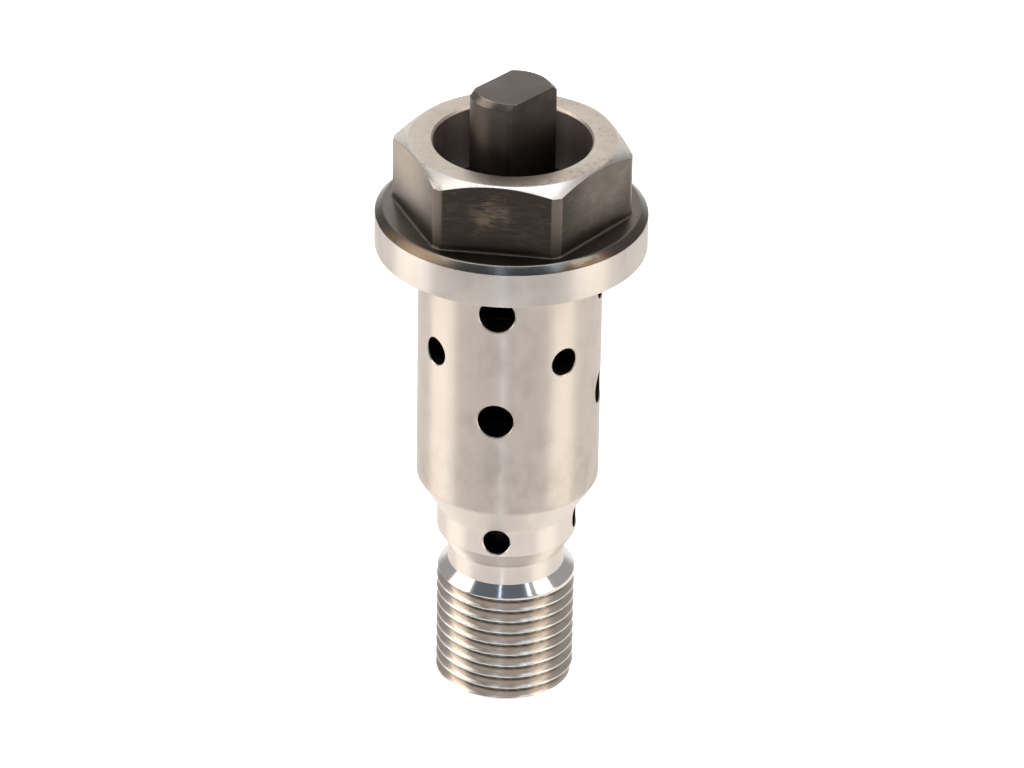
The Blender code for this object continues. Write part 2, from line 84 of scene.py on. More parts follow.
# The lowest and highest corners of each node in the frame.
head_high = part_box("valve_bolt")[1]
spool_low, spool_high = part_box("spool")
sleeve_low, sleeve_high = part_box("control_sleeve")
washer_low, washer_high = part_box("stop_washer")
ring_low, ring_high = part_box("retaining_ring")
seat_low, seat_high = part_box("spring_seat")
return_low, return_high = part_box("return_spring")
cage_low, cage_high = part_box("check_valve_cage")
plate_low, plate_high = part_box("check_valve_seat")
ball_low, ball_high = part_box("check_ball")
check_low, check_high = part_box("check_spring")
frame_low, frame_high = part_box("filter_frame")
mesh_low, mesh_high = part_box("filter_mesh")
pin_low, pin_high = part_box("locating_pin")

# The joint that squeezes each spring, and how far it travels.
joints_of = {
    "return_spring": {"name": "spool_slide", "limit": SPOOL_TRAVEL},
    "check_spring": {"name": "check_ball_slide", "limit": BALL_TRAVEL},
}


# --- Properties ---


def length(name, description, millimetres):
    return FloatProperty(
        name=name, description=description, default=millimetres * MM, unit="LENGTH", precision=5, min=0
    )


def angle(name, description, degrees):
    return FloatProperty(name=name, description=description, default=math.radians(degrees), unit="ROTATION")


def colour(name, description, red, green, blue):
    return FloatVectorProperty(
        name=name, description=description, default=(red, green, blue), subtype="COLOR", min=0, max=1
    )


class ThreadSizes(bpy.types.PropertyGroup):
    radius: length("Thread radius", "Radius over the thread's crests", 8.0)
    pitch: length("Pitch", "Distance from one turn of the thread to the next", 1.5)
    depth: length("Depth", "From a crest to the root of the groove", 0.9)
    start: length("Start height", "Height of one crest on the -Y side", 0.483)
    top: length("Top of the thread", "Height at which the thread's polished bevel starts", 14.1)
    bevel_top: length("Top of the bevel", "Height at which the bevel meets the undercut", 15.2)
    undercut: length("Undercut radius", "Radius of the plain groove above the thread", 6.75)
    end_bevel: length("End bevel", "Width and height of the bevel at the end face", 0.6)
    fade: FloatProperty(name="Groove end", description="Turns after which the groove fades out", default=8.86)
    drill: length("Centre drill radius", "Radius of the centre drilling in the end face", 2.0)
    drill_depth: length("Centre drill depth", "Depth of the centre drilling", 3.2)


class BodySizes(bpy.types.PropertyGroup):
    undercut_top: length("Top of the undercut", "Height at which the undercut opens out to the neck", 17.55)
    neck_radius: length("Neck radius", "Radius of the neck with the inlet ports", 8.08)
    neck_low: length("Foot of the neck", "Height at which the neck starts", 19.678)
    neck_top: length("Top of the neck", "Height at which the neck opens out to the body", 22.978)
    radius: length("Body radius", "Radius of the body with the working ports", 10.5)
    low: length("Foot of the body", "Height at which the body reaches its full radius", 26.85)
    bore: length("Sleeve bore", "Radius of the bore that holds the sleeve", 8.0)
    bore_low: length("Foot of the sleeve bore", "Height at which the sleeve bore starts", 27.751)
    chamber: length("Inlet chamber radius", "Radius of the chamber under the sleeve bore", 5.4)
    chamber_low: length("Foot of the inlet chamber", "Height of the chamber's floor", 18.378)
    port: length("Working port radius", "Radius of the two rows of working ports", 2.05)
    pilot: length("Pilot port radius", "Radius of the middle row of ports", 1.65)
    inlet: length("Inlet port radius", "Radius of the ports in the neck", 1.55)
    port_high: length("Upper port height", "Height of the upper working ports", 52.5)
    port_pilot: length("Pilot port height", "Height of the pilot ports", 45.7)
    port_low: length("Lower port height", "Height of the lower working ports", 38.9)
    port_inlet: length("Inlet port height", "Height of the inlet ports", 21.578)
    deburr: length("Port edge", "Width of the broken edge round each port", 0.12)


class HeadSizes(bpy.types.PropertyGroup):
    seat: length("Flange seat", "Height of the face under the flange", 56.401)
    rim_top: length("Top of the rim", "Height at which the flange's rim ends", 60.501)
    flange_top: length("Top of the flange", "Height of the flange's upper face", 61.301)
    flange_inset: length("Flange bevel", "Width of the bevel above the rim", 0.9)
    flat: length("Flat distance", "Distance of each flat of the hexagon from the axis", 12.0)
    corner: length("Corner radius", "Radius that the corners of the hexagon are turned to", 13.576)
    top_face: length("Top face radius", "Radius at which the hexagon's top bevel starts", 11.75)
    bore: length("Head bore", "Radius of the bore round the nose", 9.0)
    bore_bevel: length("Bore bevel", "Width of the bevel at the mouth of the bore", 0.25)
    bevel_edge: length("Flange bevel's edge", "Radius of the flange's upper face", 14.55)
    ledge: length("Ledge height", "Height of the ledge that the sleeve bore ends at", 59.401)
    groove: length("Ring groove", "Radius of the groove for the retaining ring", 9.5)


class SpoolSizes(bpy.types.PropertyGroup):
    nose: length("Nose radius", "Radius of the round sides of the nose", 4.95)
    flat: length("Nose flat", "Distance of the nose's flats from the axis", 3.06)
    bevel: length("Nose bevel", "Width and height of the bevel on the nose", 0.7)
    turn: angle("Nose turn", "Azimuth that one flat of the nose faces", 56.8)
    land: length("Land radius", "Radius of the lands that close the ports", 6.0)
    groove: length("Groove radius", "Radius between the lands", 4.6)
    tail: length("Tail radius", "Radius below the lower land", 5.5)
    bore: length("Spool bore", "Radius of the drilling up the spool", 2.7)
    pocket: length("Spring pocket", "Radius of the pocket for the return spring", 4.2)
    pocket_depth: length("Pocket depth", "Depth of the spring pocket", 5.2)
    tail_length: length("Tail length", "Length of the tail below the lower land", 3.25)
    land_height: length("Land height", "Height of each land", 3.6)
    land_spacing: length("Land spacing", "Distance between the lands' lower edges", 13.6)
    collar_height: length("Collar height", "Height of the stop collar", 1.8)
    drain: length("Drain radius", "Radius of the cross drillings under the collar", 0.7)


class InsideSizes(bpy.types.PropertyGroup):
    window_width: length("Window width", "Width of the sleeve's windows", 4.0)
    window_height: length("Window height", "Height of the sleeve's windows", 3.2)
    channel_width: length("Channel width", "Width of the oil channels on the sleeve", 2.6)
    channel_depth: length("Channel depth", "Depth of the oil channels on the sleeve", 0.75)
    sleeve_bore: length("Sleeve bore", "Radius of the bore that the spool runs in", 6.15)
    washer_hole: length("Washer hole", "Radius of the stop washer's hole", 5.35)
    ring_width: length("Ring width", "Radial width of the retaining ring", 1.4)
    ring_opening: angle("Ring opening", "Angle between the ends of the retaining ring", 50)
    lug: length("Lug radius", "Radius of the ring's lugs", 1.3)
    lug_hole: length("Lug hole", "Radius of the holes in the lugs", 0.6)
    return_wire: length("Return spring wire", "Thickness of the return spring's wire", 0.7)
    return_turns: FloatProperty(name="Return spring turns", description="Number of turns", default=6, min=2)
    check_wire: length("Check spring wire", "Thickness of the check spring's wire", 0.25)
    check_turns: FloatProperty(name="Check spring turns", description="Number of turns", default=3, min=2)
    rest: length("Spring rest gap", "Height of the check spring's foot over its packed box", 0.1)
    orifice: length("Orifice", "Radius of the hole that the ball closes", 1.35)
    cage_wall: length("Cage wall", "Thickness of the check valve cage", 0.7)
    filter_wall: length("Filter wall", "Thickness of the filter's moulded frame", 0.5)
    filter_flange: length("Filter flange", "Height of the filter frame's flanges", 0.45)
    recess_top: length("Seat recess", "Height of the roof of the sleeve's seat recess", 31.801)
    cage_outside: length("Cage radius", "Radius of the cage over the ball", 2.75)


class SteelColours(bpy.types.PropertyGroup):
    turned: colour("Turned steel", "Colour of the machined body", 0.79, 0.70, 0.615)
    stain: colour("Stain", "Colour of the faint stains on the body", 0.58, 0.50, 0.42)
    dark: colour("Dark steel", "Colour of the oiled, unmachined flats", 0.046, 0.037, 0.031)
    tan: colour("Tan tint", "Colour of the heat tint on the head", 0.24, 0.16, 0.10)
    nose: colour("Nose steel", "Colour of the spool", 0.070, 0.058, 0.049)
    ground: colour("Ground steel", "Colour of the small pieces", 0.52, 0.51, 0.50)
    wire: colour("Spring wire", "Colour of the springs", 0.36, 0.36, 0.37)
    plastic: colour("Moulded plastic", "Colour of the filter's frame", 0.03, 0.03, 0.032)
    # The bore colour is near-black: painted shade inside the bolt and the spool, over a film of oil.
    bore: colour("Bore", "Colour of the oily inside of the bolt", 0.02, 0.017, 0.015)


class StageSettings(bpy.types.PropertyGroup):
    azimuth: angle("Camera azimuth", "Azimuth of the camera", 8.0)
    elevation: angle("Camera elevation", "Height angle of the camera", 29.435)
    roll: angle("Camera roll", "Turn of the camera about its view", 0.973)
    distance: length("Camera distance", "Distance from the aim point to the camera", 761.87)
    aim_height: length("Aim height", "Height of the point that the camera looks at", 38.03)
    aim_side: length("Aim offset", "How far the aim point lies to the camera's right", 0.381)
    lens: FloatProperty(name="Lens", description="Focal length", default=233.71, unit="CAMERA", min=1)
    floor: colour("Floor", "Colour of the floor", 0.95, 0.95, 0.95)
    studio: colour("Studio", "Colour of the dark walls and the light strips", 0.64, 0.79, 1.0)
    softbox: colour("Softboxes", "Colour of the side softboxes", 1.0, 0.95, 0.88)
    floor_light: FloatProperty(name="Floor light", description="Brightness of the floor", default=0.92, min=0)
    box_light: FloatProperty(
        name="Softbox light", description="Brightness of the softboxes", default=1.7, min=0
    )
    strip_light: FloatProperty(name="Strip light", description="Brightness of the strips", default=2.3, min=0)


# --- Surfaces ---


def skin(name, points, crease=32):
    """A closed surface through a grid of points, rows by columns by 3. Columns close round, a row whose
    points all meet becomes one pole, and a grid with no pole closes from its last row to its first. Faces
    point to the side where columns run right and rows run up."""
    rows, columns = points.shape[:2]
    index = np.arange(rows * columns).reshape(rows, columns)
    pole = np.ptp(points, axis=1).max(1) < 1e-9
    index[pole] = index[pole, :1]
    if not pole.any():
        index = np.vstack([index, index[:1]])
    low, high = index[:-1], index[1:]
    low_next, high_next = np.roll(low, -1, 1), np.roll(high, -1, 1)
    quads = np.stack([low, low_next, high_next, high], -1)
    foot, tip = low[:, 0] == low[:, 1], high[:, 0] == high[:, 1]
    faces = quads[~foot & ~tip].reshape(-1, 4).tolist()
    faces += quads[foot][..., [0, 2, 3]].reshape(-1, 3).tolist()
    faces += quads[tip][..., [0, 1, 2]].reshape(-1, 3).tolist()
    used = np.zeros(rows * columns, bool)
    used[index.ravel()] = True
    place = np.cumsum(used) - 1
    mesh = bpy.data.meshes.new(name)
    mesh.from_pydata(
        points.reshape(-1, 3)[used].tolist(), [], [[int(place[corner]) for corner in face] for face in faces]
    )
    mesh.shade_smooth()
    mesh.set_sharp_from_angle(angle=math.radians(crease))
    made = bpy.data.objects.new(name, mesh)
    bpy.context.scene.collection.objects.link(made)
    return made


def eased(corners, reach, steps=4):
    """Breaks the corners of a profile. corners is n by 2, or n by columns by 2 for a profile that changes
    round the axis. Each corner becomes a quadratic curve, from a point on the line before it to a point on
    the line after it, both reach away and at most 0.45 of the shorter line. A profile that starts on the
    axis keeps its two ends."""
    corners = np.asarray(corners, float)
    if corners.ndim == 2:
        corners = corners[:, None]
    before, after = np.roll(corners, 1, 0) - corners, np.roll(corners, -1, 0) - corners
    before_length = np.linalg.norm(before, axis=-1, keepdims=True)
    after_length = np.linalg.norm(after, axis=-1, keepdims=True)
    reach = np.broadcast_to(np.asarray(reach, float).reshape(-1, 1, 1), before_length.shape)
    reach = np.minimum(reach, 0.45 * np.minimum(before_length, after_length))
    start, end = corners + before / before_length * reach, corners + after / after_length * reach
    t = np.linspace(0, 1, steps + 1)[:, None, None]
    curve = (1 - t) ** 2 * start[:, None] + 2 * t * (1 - t) * corners[:, None] + t**2 * end[:, None]
    if corners[0, :, 0].max() == 0:
        return np.concatenate([corners[:1], curve[1:-1].reshape(-1, *corners.shape[1:]), corners[-1:]])
    return curve.reshape(-1, *corners.shape[1:])


def around(columns):
    return np.linspace(0, math.tau, columns, endpoint=False)


def lathe(name, profile, azimuth, crease=32):
    """Carries a profile, rows by columns by (radius, height), round the axis: x is radius times the
    azimuth's sine, y is minus radius times its cosine, and z is height."""
    radius, height = np.broadcast_arrays(profile[..., 0], profile[..., 1])
    radius = np.broadcast_to(radius, (len(profile), len(azimuth)))
    height = np.broadcast_to(height, radius.shape)
    points = np.stack([radius * np.sin(azimuth), -radius * np.cos(azimuth), height], -1)
    return skin(name, points, crease)


def ringed(azimuth, corners):
    """Corners as n by columns by 2, where a radius or a height may change round the axis."""
    level = 0 * azimuth
    return np.array([np.stack([radius + level, height + level], -1) for radius, height in corners])


def band(inner, outer, low, high):
    """The corners of a plain ring, or of a disc where inner is 0."""
    return [(inner, low), (outer, low), (outer, high), (inner, high)]


def turned_piece(name, corners, reach=0.08 * MM, columns=128):
    return lathe(name, eased(corners, reach), around(columns))


def hole_outline(half_width, half_height, squareness):
    """A superellipse: each half size times the cosine or sine, its size raised to 2 over squareness."""
    t = around(OUTLINE_POINTS)
    power = 2 / squareness
    across = half_width * np.sign(np.cos(t)) * np.abs(np.cos(t)) ** power
    up = half_height * np.sign(np.sin(t)) * np.abs(np.sin(t)) ** power
    return across, up


def radial_cutter(name, half_width, half_height, squareness, inner, surface, outer, height, turn, flare):
    """A plug that cuts a radial hole with a broken edge where it meets a round surface. Its outline is
    constant from the inner depth to just under the surface, which at a distance u from the hole's middle
    lies at the square root of surface squared less u squared. There it opens out by the flare at 45
    degrees."""
    across, up = hole_outline(half_width, half_height, squareness)
    wide_across, wide_up = hole_outline(half_width + 2 * flare, half_height + 2 * flare, squareness)
    skin_depth = np.sqrt(np.maximum(surface**2 - across**2, 0))
    none = np.zeros_like(across)
    rows = [
        (none, none, none + inner),
        (across, up, none + inner),
        (across, up, skin_depth - flare),
        (wide_across, wide_up, skin_depth + flare),
        (wide_across, wide_up, none + outer),
        (none, none, none + outer),
    ]
    local = np.array(rows).transpose(0, 2, 1)
    basis = np.array([[math.cos(turn), math.sin(turn), 0], [0, 0, 1], [math.sin(turn), -math.cos(turn), 0]])
    return skin(name, local @ basis + np.array([0, 0, height]))


def four_round(turn=0.0):
    return [turn + step * math.tau / PORTS for step in range(PORTS)]


def join(name, parts):
    """Several closed surfaces as one object."""
    with bpy.context.temp_override(active_object=parts[0], selected_editable_objects=parts):
        bpy.ops.object.join()
    parts[0].name = name
    return parts[0]


def combine(piece, other, operation="DIFFERENCE", crease=32):
    """Cuts the other object out of the piece, or joins it on, and keeps the result as the piece's mesh."""
    change = piece.modifiers.new("cut", "BOOLEAN")
    change.operation = operation
    change.solver = "EXACT"
    change.object = other
    graph = bpy.context.evaluated_depsgraph_get()
    result = bpy.data.meshes.new_from_object(piece.evaluated_get(graph))
    piece.modifiers.clear()
    piece.data = result
    bpy.data.objects.remove(other)
    result.shade_smooth()
    result.set_sharp_from_angle(angle=math.radians(crease))
    return piece


def cut_windows(piece, *shape):
    """Cuts one window on each side of a thin wall. shape is a radial cutter's sizes and height."""
    for turn in four_round():
        combine(piece, radial_cutter("gap", *shape, turn, 0.04 * MM))


def coil(name, radius, wire, low, high, turns):
    """A compression spring with flat ends, as a round wire carried along its path. The path turns evenly
    round the axis. Its height creeps up by a little over a wire over each flat end turn and climbs evenly
    between them."""
    flat = 0.75
    turn = np.linspace(0, turns, int(turns * 64) + 1)
    rise = np.clip((turn - flat) / (turns - 2 * flat), 0, 1)
    creep = wire * 1.15
    ends = np.clip(turn / flat, 0, 1) + np.clip((turn - turns + flat) / flat, 0, 1)
    height = low + wire / 2 + creep * ends + rise * (high - low - wire - 2 * creep)
    azimuth = turn * math.tau
    outward = np.stack([np.sin(azimuth), -np.cos(azimuth), 0 * azimuth], -1)
    middle = outward * radius
    middle[:, 2] = height
    along = np.gradient(middle, axis=0)
    along /= np.linalg.norm(along, axis=1, keepdims=True)
    upward = np.cross(outward, along)
    t = around(16)[None, :, None]
    ring = middle[:, None] + wire / 2 * (np.cos(t) * outward[:, None] - np.sin(t) * upward[:, None])
    first, last = np.repeat(middle[:1, None], 16, 1), np.repeat(middle[-1:, None], 16, 1)
    return skin(name, np.concatenate([first, ring, last]), crease=50)


# --- Shader maths ---


class Value:
    """A number or colour that leaves a socket, so that shader maths reads as Python."""

    def __init__(self, finish, socket):
        self.finish = finish
        self.socket = socket

    def maths(self, operation, first, second=0.0):
        node = self.finish.node("ShaderNodeMath", {"operation": operation}, {0: first, 1: second})
        return Value(self.finish, node.outputs[0])

    def __add__(self, other):
        return self.maths("ADD", self, other)

    def __sub__(self, other):
        return self.maths("SUBTRACT", self, other)

    def __mul__(self, other):
        return self.maths("MULTIPLY", self, other)

    def __truediv__(self, other):
        return self.maths("DIVIDE", self, other)

    def __rsub__(self, other):
        return self.maths("SUBTRACT", other, self)

    def __rtruediv__(self, other):
        return self.maths("DIVIDE", other, self)

    def __pow__(self, other):
        return self.maths("POWER", self, other)

    def __neg__(self):
        return self.maths("MULTIPLY", self, -1.0)

    def __abs__(self):
        return self.maths("ABSOLUTE", self)

    __radd__ = __add__
    __rmul__ = __mul__

    def sine(self):
        return self.maths("SINE", self)

    def least(self, other):
        return self.maths("MINIMUM", self, other)

    def most(self, other):
        return self.maths("MAXIMUM", self, other)

    def step(self, low, high):
        """0 below low and 1 above high, with a smooth turn between. low may be above high, which flips it."""
        settings = {"interpolation_type": "SMOOTHSTEP"}
        node = self.finish.node(
            "ShaderNodeMapRange", settings, {"Value": self, "From Min": low, "From Max": high}
        )
        return Value(self.finish, node.outputs[0])

    def within(self, low, high, soft):
        """1 between low and high, fading to 0 over soft outside them."""
        return self.step(low - soft, low) * self.step(high + soft, high)


class Finish:
    """The nodes of one material or of the world."""

    def __init__(self, tree):
        self.tree = tree
        tree.nodes.clear()

    def node(self, kind, settings=None, values=None):
        made = self.tree.nodes.new(kind)
        for key, value in (settings or {}).items():
            setattr(made, key, value)
        for key, value in (values or {}).items():
            if isinstance(value, Value):
                self.tree.links.new(value.socket, made.inputs[key])
            else:
                made.inputs[key].default_value = value
        return made

    def value(self, kind, output=0, settings=None, values=None):
        return Value(self, self.node(kind, settings, values).outputs[output])

    def split(self, vector):
        parts = self.node("ShaderNodeSeparateXYZ", values={0: vector})
        return [Value(self, parts.outputs[axis]) for axis in range(3)]

    def place(self):
        """The point on the piece, in metres."""
        return self.value("ShaderNodeTexCoord", "Object")

    def facing(self):
        """How far the surface faces up: 1 on a top face, 0 on an upright one, -1 underneath."""
        return self.split(self.value("ShaderNodeTexCoord", "Normal"))[2]

    def noise(self, size, stretch=(1, 1, 1), detail=3.0, roughness=0.5, shift=0.0):
        """Noise from 0 to 1 whose lumps are about size across, longer along an axis whose stretch is over
        1."""
        scale = [1 / (size * one) for one in stretch]
        values = {"Vector": self.place(), "Scale": scale, "Location": (shift, shift, shift)}
        moved = self.value("ShaderNodeMapping", settings={"vector_type": "POINT"}, values=values)
        values = {"Vector": moved, "Scale": 1.0, "Detail": detail, "Roughness": roughness}
        return self.value("ShaderNodeTexNoise", values=values)

    def mix(self, factor, first, second):
        """A Mix node set to colour, whose colours go in at sockets 6 and 7 and come out at socket 2."""
        values = {0: factor, 6: paint(first), 7: paint(second)}
        return self.value("ShaderNodeMix", 2, {"data_type": "RGBA"}, values)

    def layers(self, tone, *rows):
        """Lays colours over a first one. Each row is a mask from 0 to 1 and the colour it shows."""
        for mask, colour in rows:
            tone = self.mix(mask, tone, colour)
        return tone

    def bump(self, height, distance, strength):
        values = {"Height": height, "Distance": distance, "Strength": strength}
        return self.value("ShaderNodeBump", values=values)


def paint(value):
    return value if isinstance(value, Value) else (*value, 1.0)


def material(name):
    made = bpy.data.materials.new(name)
    made.use_nodes = True
    return made, Finish(made.node_tree)


def surface(finish, colour, roughness, normal=None, metallic=1.0, anisotropic=0.0):
    values = {"Base Color": paint(colour), "Roughness": roughness, "Metallic": metallic}
    if normal:
        values["Normal"] = normal
    if anisotropic:
        values["Anisotropic"] = anisotropic
        values["Anisotropic Rotation"] = 0.25
    shader = finish.value("ShaderNodeBsdfPrincipled", values=values)
    finish.node("ShaderNodeOutputMaterial", values={"Surface": shader})


def fit(piece, made, body, node):
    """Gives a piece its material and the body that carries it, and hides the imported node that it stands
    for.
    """
    piece.data.materials.clear()
    piece.data.materials.append(made)
    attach(piece, body)
    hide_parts(node)


# --- Materials ---


def turned_steel():
    """Machined steel: fine rings from the lathe, faint stains and marks, and a near-black inside, which is
    painted shade in the bore and the ports over a film of oil.
    """
    steel = bpy.context.scene.valve_colours
    sizes = bpy.context.scene.valve_body
    made, finish = material("turned_steel")
    x, y, z = finish.split(finish.place())
    radius = (x * x + y * y) ** 0.5
    blotch = finish.noise(3.0 * MM, (1, 1, 1.3), 6.0, 0.65).step(0.42, 0.70)
    speck = finish.noise(0.6 * MM, (1, 1, 1.2), 3.0, 0.7, 3.1).step(0.55, 0.75)
    run = finish.noise(1.1 * MM, (1, 1, 5), 3.0, 0.6, 7.7).step(0.5, 0.8)
    rings = finish.noise(0.12 * MM, (400, 400, 1), 2.0, 0.5, 1.7)
    lower = z.step(44 * MM, 27 * MM) * 0.55 + 0.35
    neck = z.step(sizes.low + 0.1 * MM, sizes.low - 0.5 * MM)
    rim = radius.step(11 * MM, 13 * MM)
    bored = radius.step(sizes.radius - 0.06 * MM, sizes.radius - 0.16 * MM)
    bored = bored * z.step(sizes.low + 0.4 * MM, sizes.low + 1.2 * MM)
    necked = radius.step(sizes.neck_radius - 0.06 * MM, sizes.neck_radius - 0.16 * MM)
    necked = necked * z.within(sizes.neck_low + 0.2 * MM, sizes.neck_top - 0.1 * MM, 0.1 * MM)
    core = radius.step(sizes.bore + 0.1 * MM, sizes.bore)
    core = core * z.step(sizes.bore_low - 3 * MM, sizes.bore_low - 2 * MM)
    chamber = radius.step(sizes.chamber + 0.4 * MM, sizes.chamber + 0.1 * MM)
    chamber = chamber * z.step(sizes.undercut_top + 0.6 * MM, sizes.undercut_top + 0.8 * MM)
    inside = bored.most(necked).most(core).most(chamber)
    tone = finish.layers(
        steel.turned,
        (blotch * lower * 0.44, steel.stain),
        (speck * lower * 0.3, steel.stain),
        (run * 0.14, (0.80, 0.76, 0.70)),
        (rings * 0.10, steel.stain),
        (neck * 0.8, (0.91, 0.82, 0.735)),
        (rim * 0.75, (0.81, 0.74, 0.67)),
        (rim * blotch * 0.25, (0.62, 0.58, 0.56)),
        # The bore and the port walls take the near-black bore colour: painted shade, over a film of oil.
        (inside, steel.bore),
    )
    cone = z.within(sizes.undercut_top + 0.1 * MM, sizes.neck_low, 0.1 * MM)
    roughness = 0.35 + blotch * 0.05 + rings * 0.04 - neck * 0.08 + cone * 0.3
    normal = finish.bump(rings + blotch * 0.2 + speck * 0.15, 0.004 * MM, 0.6)
    surface(finish, tone, roughness, normal, anisotropic=0.95)
    return made


def thread_steel():
    """Rolled thread: smooth and bright, with brown film in the grooves and a mirror-bright bevel above. The
    lighter crests are a painted highlight, the darker roots painted shade, and the lighter end bevel a
    painted reflection of the floor.
    """
    sizes = bpy.context.scene.valve_thread
    made, finish = material("thread_steel")
    x, y, z = finish.split(finish.place())
    radius = (x * x + y * y) ** 0.5
    # crest marks the crests, painted lighter: a painted highlight.
    crest = radius.step(sizes.radius - 0.14 * MM, sizes.radius - 0.03 * MM)
    # root marks the bottoms of the grooves, painted dark: painted shade.
    root = radius.step(sizes.radius - 0.55 * MM, sizes.radius - 0.9 * MM)
    bevel = z.step(sizes.top - 0.12 * MM, sizes.top + 0.05 * MM)
    film = finish.noise(1.2 * MM, (1, 1, 0.5), 4.0, 0.6)
    scratch = finish.noise(0.12 * MM, (60, 60, 1), 2.0, 0.5, 2.2)
    # end marks the bevel at the foot of the thread, painted lighter: a painted reflection of the floor.
    end = z.step(0.75 * MM, 0.5 * MM)
    tone = finish.layers(
        (0.69, 0.64, 0.59),
        (crest, (0.90, 0.85, 0.78)),
        (film.step(0.35, 0.75) * 0.35, (0.46, 0.38, 0.31)),
        ((1 - crest) * (1 - bevel) * 0.25, (0.50, 0.42, 0.35)),
        (root * 0.7, (0.12, 0.10, 0.085)),
        (bevel, (0.82, 0.80, 0.79)),
        (end, (0.86, 0.79, 0.70)),
    )
    roughness = 0.16 + film * 0.08 + scratch * 0.04 - bevel * 0.12
    surface(finish, tone, roughness, finish.bump(scratch + film * 0.3, 0.003 * MM, 0.5))
    return made


def head_steel():
    """The hexagon and the flange's top: dark oiled flats with brown heat tint, bright bevels and top face.
    Painted light: a painted reflection lightens the left and right flats, more so towards the top, and
    darkens the ends of the top bevel; painted shade darkens the flats by the flange, the sides of the
    flange's bevel and the bore deeper down.
    """
    steel = bpy.context.scene.valve_colours
    sizes = bpy.context.scene.valve_head
    made, finish = material("head_steel")
    x, y, z = finish.split(finish.place())
    radius = (x * x + y * y) ** 0.5
    up = finish.facing()
    cloud = finish.noise(3.0 * MM, (1, 1, 0.8), 5.0, 0.65)
    smear = finish.noise(0.9 * MM, (2.5, 2.5, 0.5), 4.0, 0.6, 2.3)
    streak = finish.noise(0.3 * MM, (10, 10, 0.7), 2.0, 0.5, 5.1)
    fleck = finish.noise(0.5 * MM, (1, 1, 1), 3.0, 0.7, 9.3)
    middle = ((x + 0.8 * MM) ** 2 + (z - sizes.flange_top - 5.0 * MM) ** 2) ** 0.5
    golden = middle.step(3.0 * MM, 0.3 * MM) * y.step(0, -1 * MM)
    golden = golden * (cloud * 0.5 + smear * 0.5).step(0.42, 0.62)
    # lit, left, right and high paint the hexagon's left and right flats lighter, more so towards the top: a
    # painted reflection of the side softboxes.
    lit = z.step(sizes.flange_top - 0.5 * MM, sizes.flange_top + 6.5 * MM)
    left = (x * -0.85 + y * -0.1).step(6.0 * MM, 10.0 * MM)
    right = (x * 0.93 + y * -0.2).step(8.5 * MM, 11.5 * MM)
    high = (0.25 + lit * 0.75) * (0.75 + smear * 0.3)
    # Painted shade: the flats darken towards the flange.
    painted_shade_near_flange = z.step(sizes.flange_top + 4 * MM, sizes.flange_top)
    corner = radius.step(sizes.corner - 0.14 * MM, sizes.corner - 0.03 * MM)
    flats = finish.layers(
        steel.dark,
        (cloud.step(0.52, 0.75) * 0.5, (0.14, 0.105, 0.078)),
        (smear.step(0.5, 0.75) * 0.4, (0.13, 0.108, 0.085)),
        (golden * 0.6, (0.27, 0.20, 0.13)),
        (streak.step(0.5, 0.8) * 0.35, (0.10, 0.088, 0.077)),
        (left * high, (0.53, 0.44, 0.355)),
        (right * high * (0.2 + cloud * 0.75), (0.33, 0.285, 0.235)),
        (painted_shade_near_flange * 0.55, (0.025, 0.02, 0.017)),
        # The turned corners are lighter steel, and through lit lighter still towards the top: partly their
        # own colour, partly painted light.
        (corner * lit * 0.5, (0.30, 0.25, 0.21)),
    )
    slope = up.within(0.80, 0.93, 0.03)
    # cold puts dark bluish patches at the left and right of the top bevel: painted reflections of the dark
    # studio, partly heat tint.
    cold = slope * (x * -0.78 + y * -0.62).step(11.75 * MM, 12.3 * MM) * smear.step(0.35, 0.55)
    cold = cold.most(slope * (x * 0.85 + y * -0.5).step(10.8 * MM, 11.6 * MM) * 0.6)
    worn = (x * 0.72 + y * -0.69).step(9.2 * MM, 10.2 * MM) * fleck.step(0.46, 0.58) * 0.75 * (1 - slope)
    bright = finish.layers(
        (0.57, 0.49, 0.40),
        (cloud.step(0.42, 0.66) * 0.5, (0.46, 0.385, 0.31)),
        (smear.step(0.52, 0.75) * 0.35, (0.64, 0.57, 0.49)),
        (slope * 0.8, (0.80, 0.76, 0.72)),
        (cold * 0.7, (0.26, 0.25, 0.27)),
        (fleck.step(0.58, 0.70).most(worn) * 0.5, (0.22, 0.165, 0.13)),
    )
    facing_up = up.step(0.4, 0.6)
    above = z.step(sizes.flange_top + 3 * MM, sizes.flange_top + 4 * MM)
    flange = (1 - above) * up.step(0.3, 0.5)
    bevel = radius.step(sizes.bevel_edge, sizes.bevel_edge + 0.15 * MM)
    patch = (x * -0.62 + y * -0.785).step(13.2 * MM, 14.8 * MM) * bevel * cloud.step(0.25, 0.5)
    spot = (x * 0.68 + y * -0.73).step(14.4 * MM, 15.0 * MM) * bevel * smear.step(0.4, 0.55)
    plate = finish.layers(
        (0.15, 0.125, 0.10),
        (cloud.step(0.5, 0.75) * 0.4, (0.20, 0.15, 0.11)),
        (bevel * 0.85, (0.28, 0.27, 0.245)),
        # The flange's bevel darkens towards its left and right sides: painted shade.
        (bevel * abs(x).step(9 * MM, 13 * MM) * 0.85, (0.10, 0.086, 0.07)),
        (patch * 0.75, steel.tan),
        (spot * 0.8, (0.16, 0.09, 0.05)),
    )
    inside = radius.step(sizes.bore + 0.1 * MM, sizes.bore + 0.02 * MM)
    curtain = finish.noise(3.5 * MM, (1, 1, 20), 1.0, 0.5, 6.4).step(0.35, 0.65)
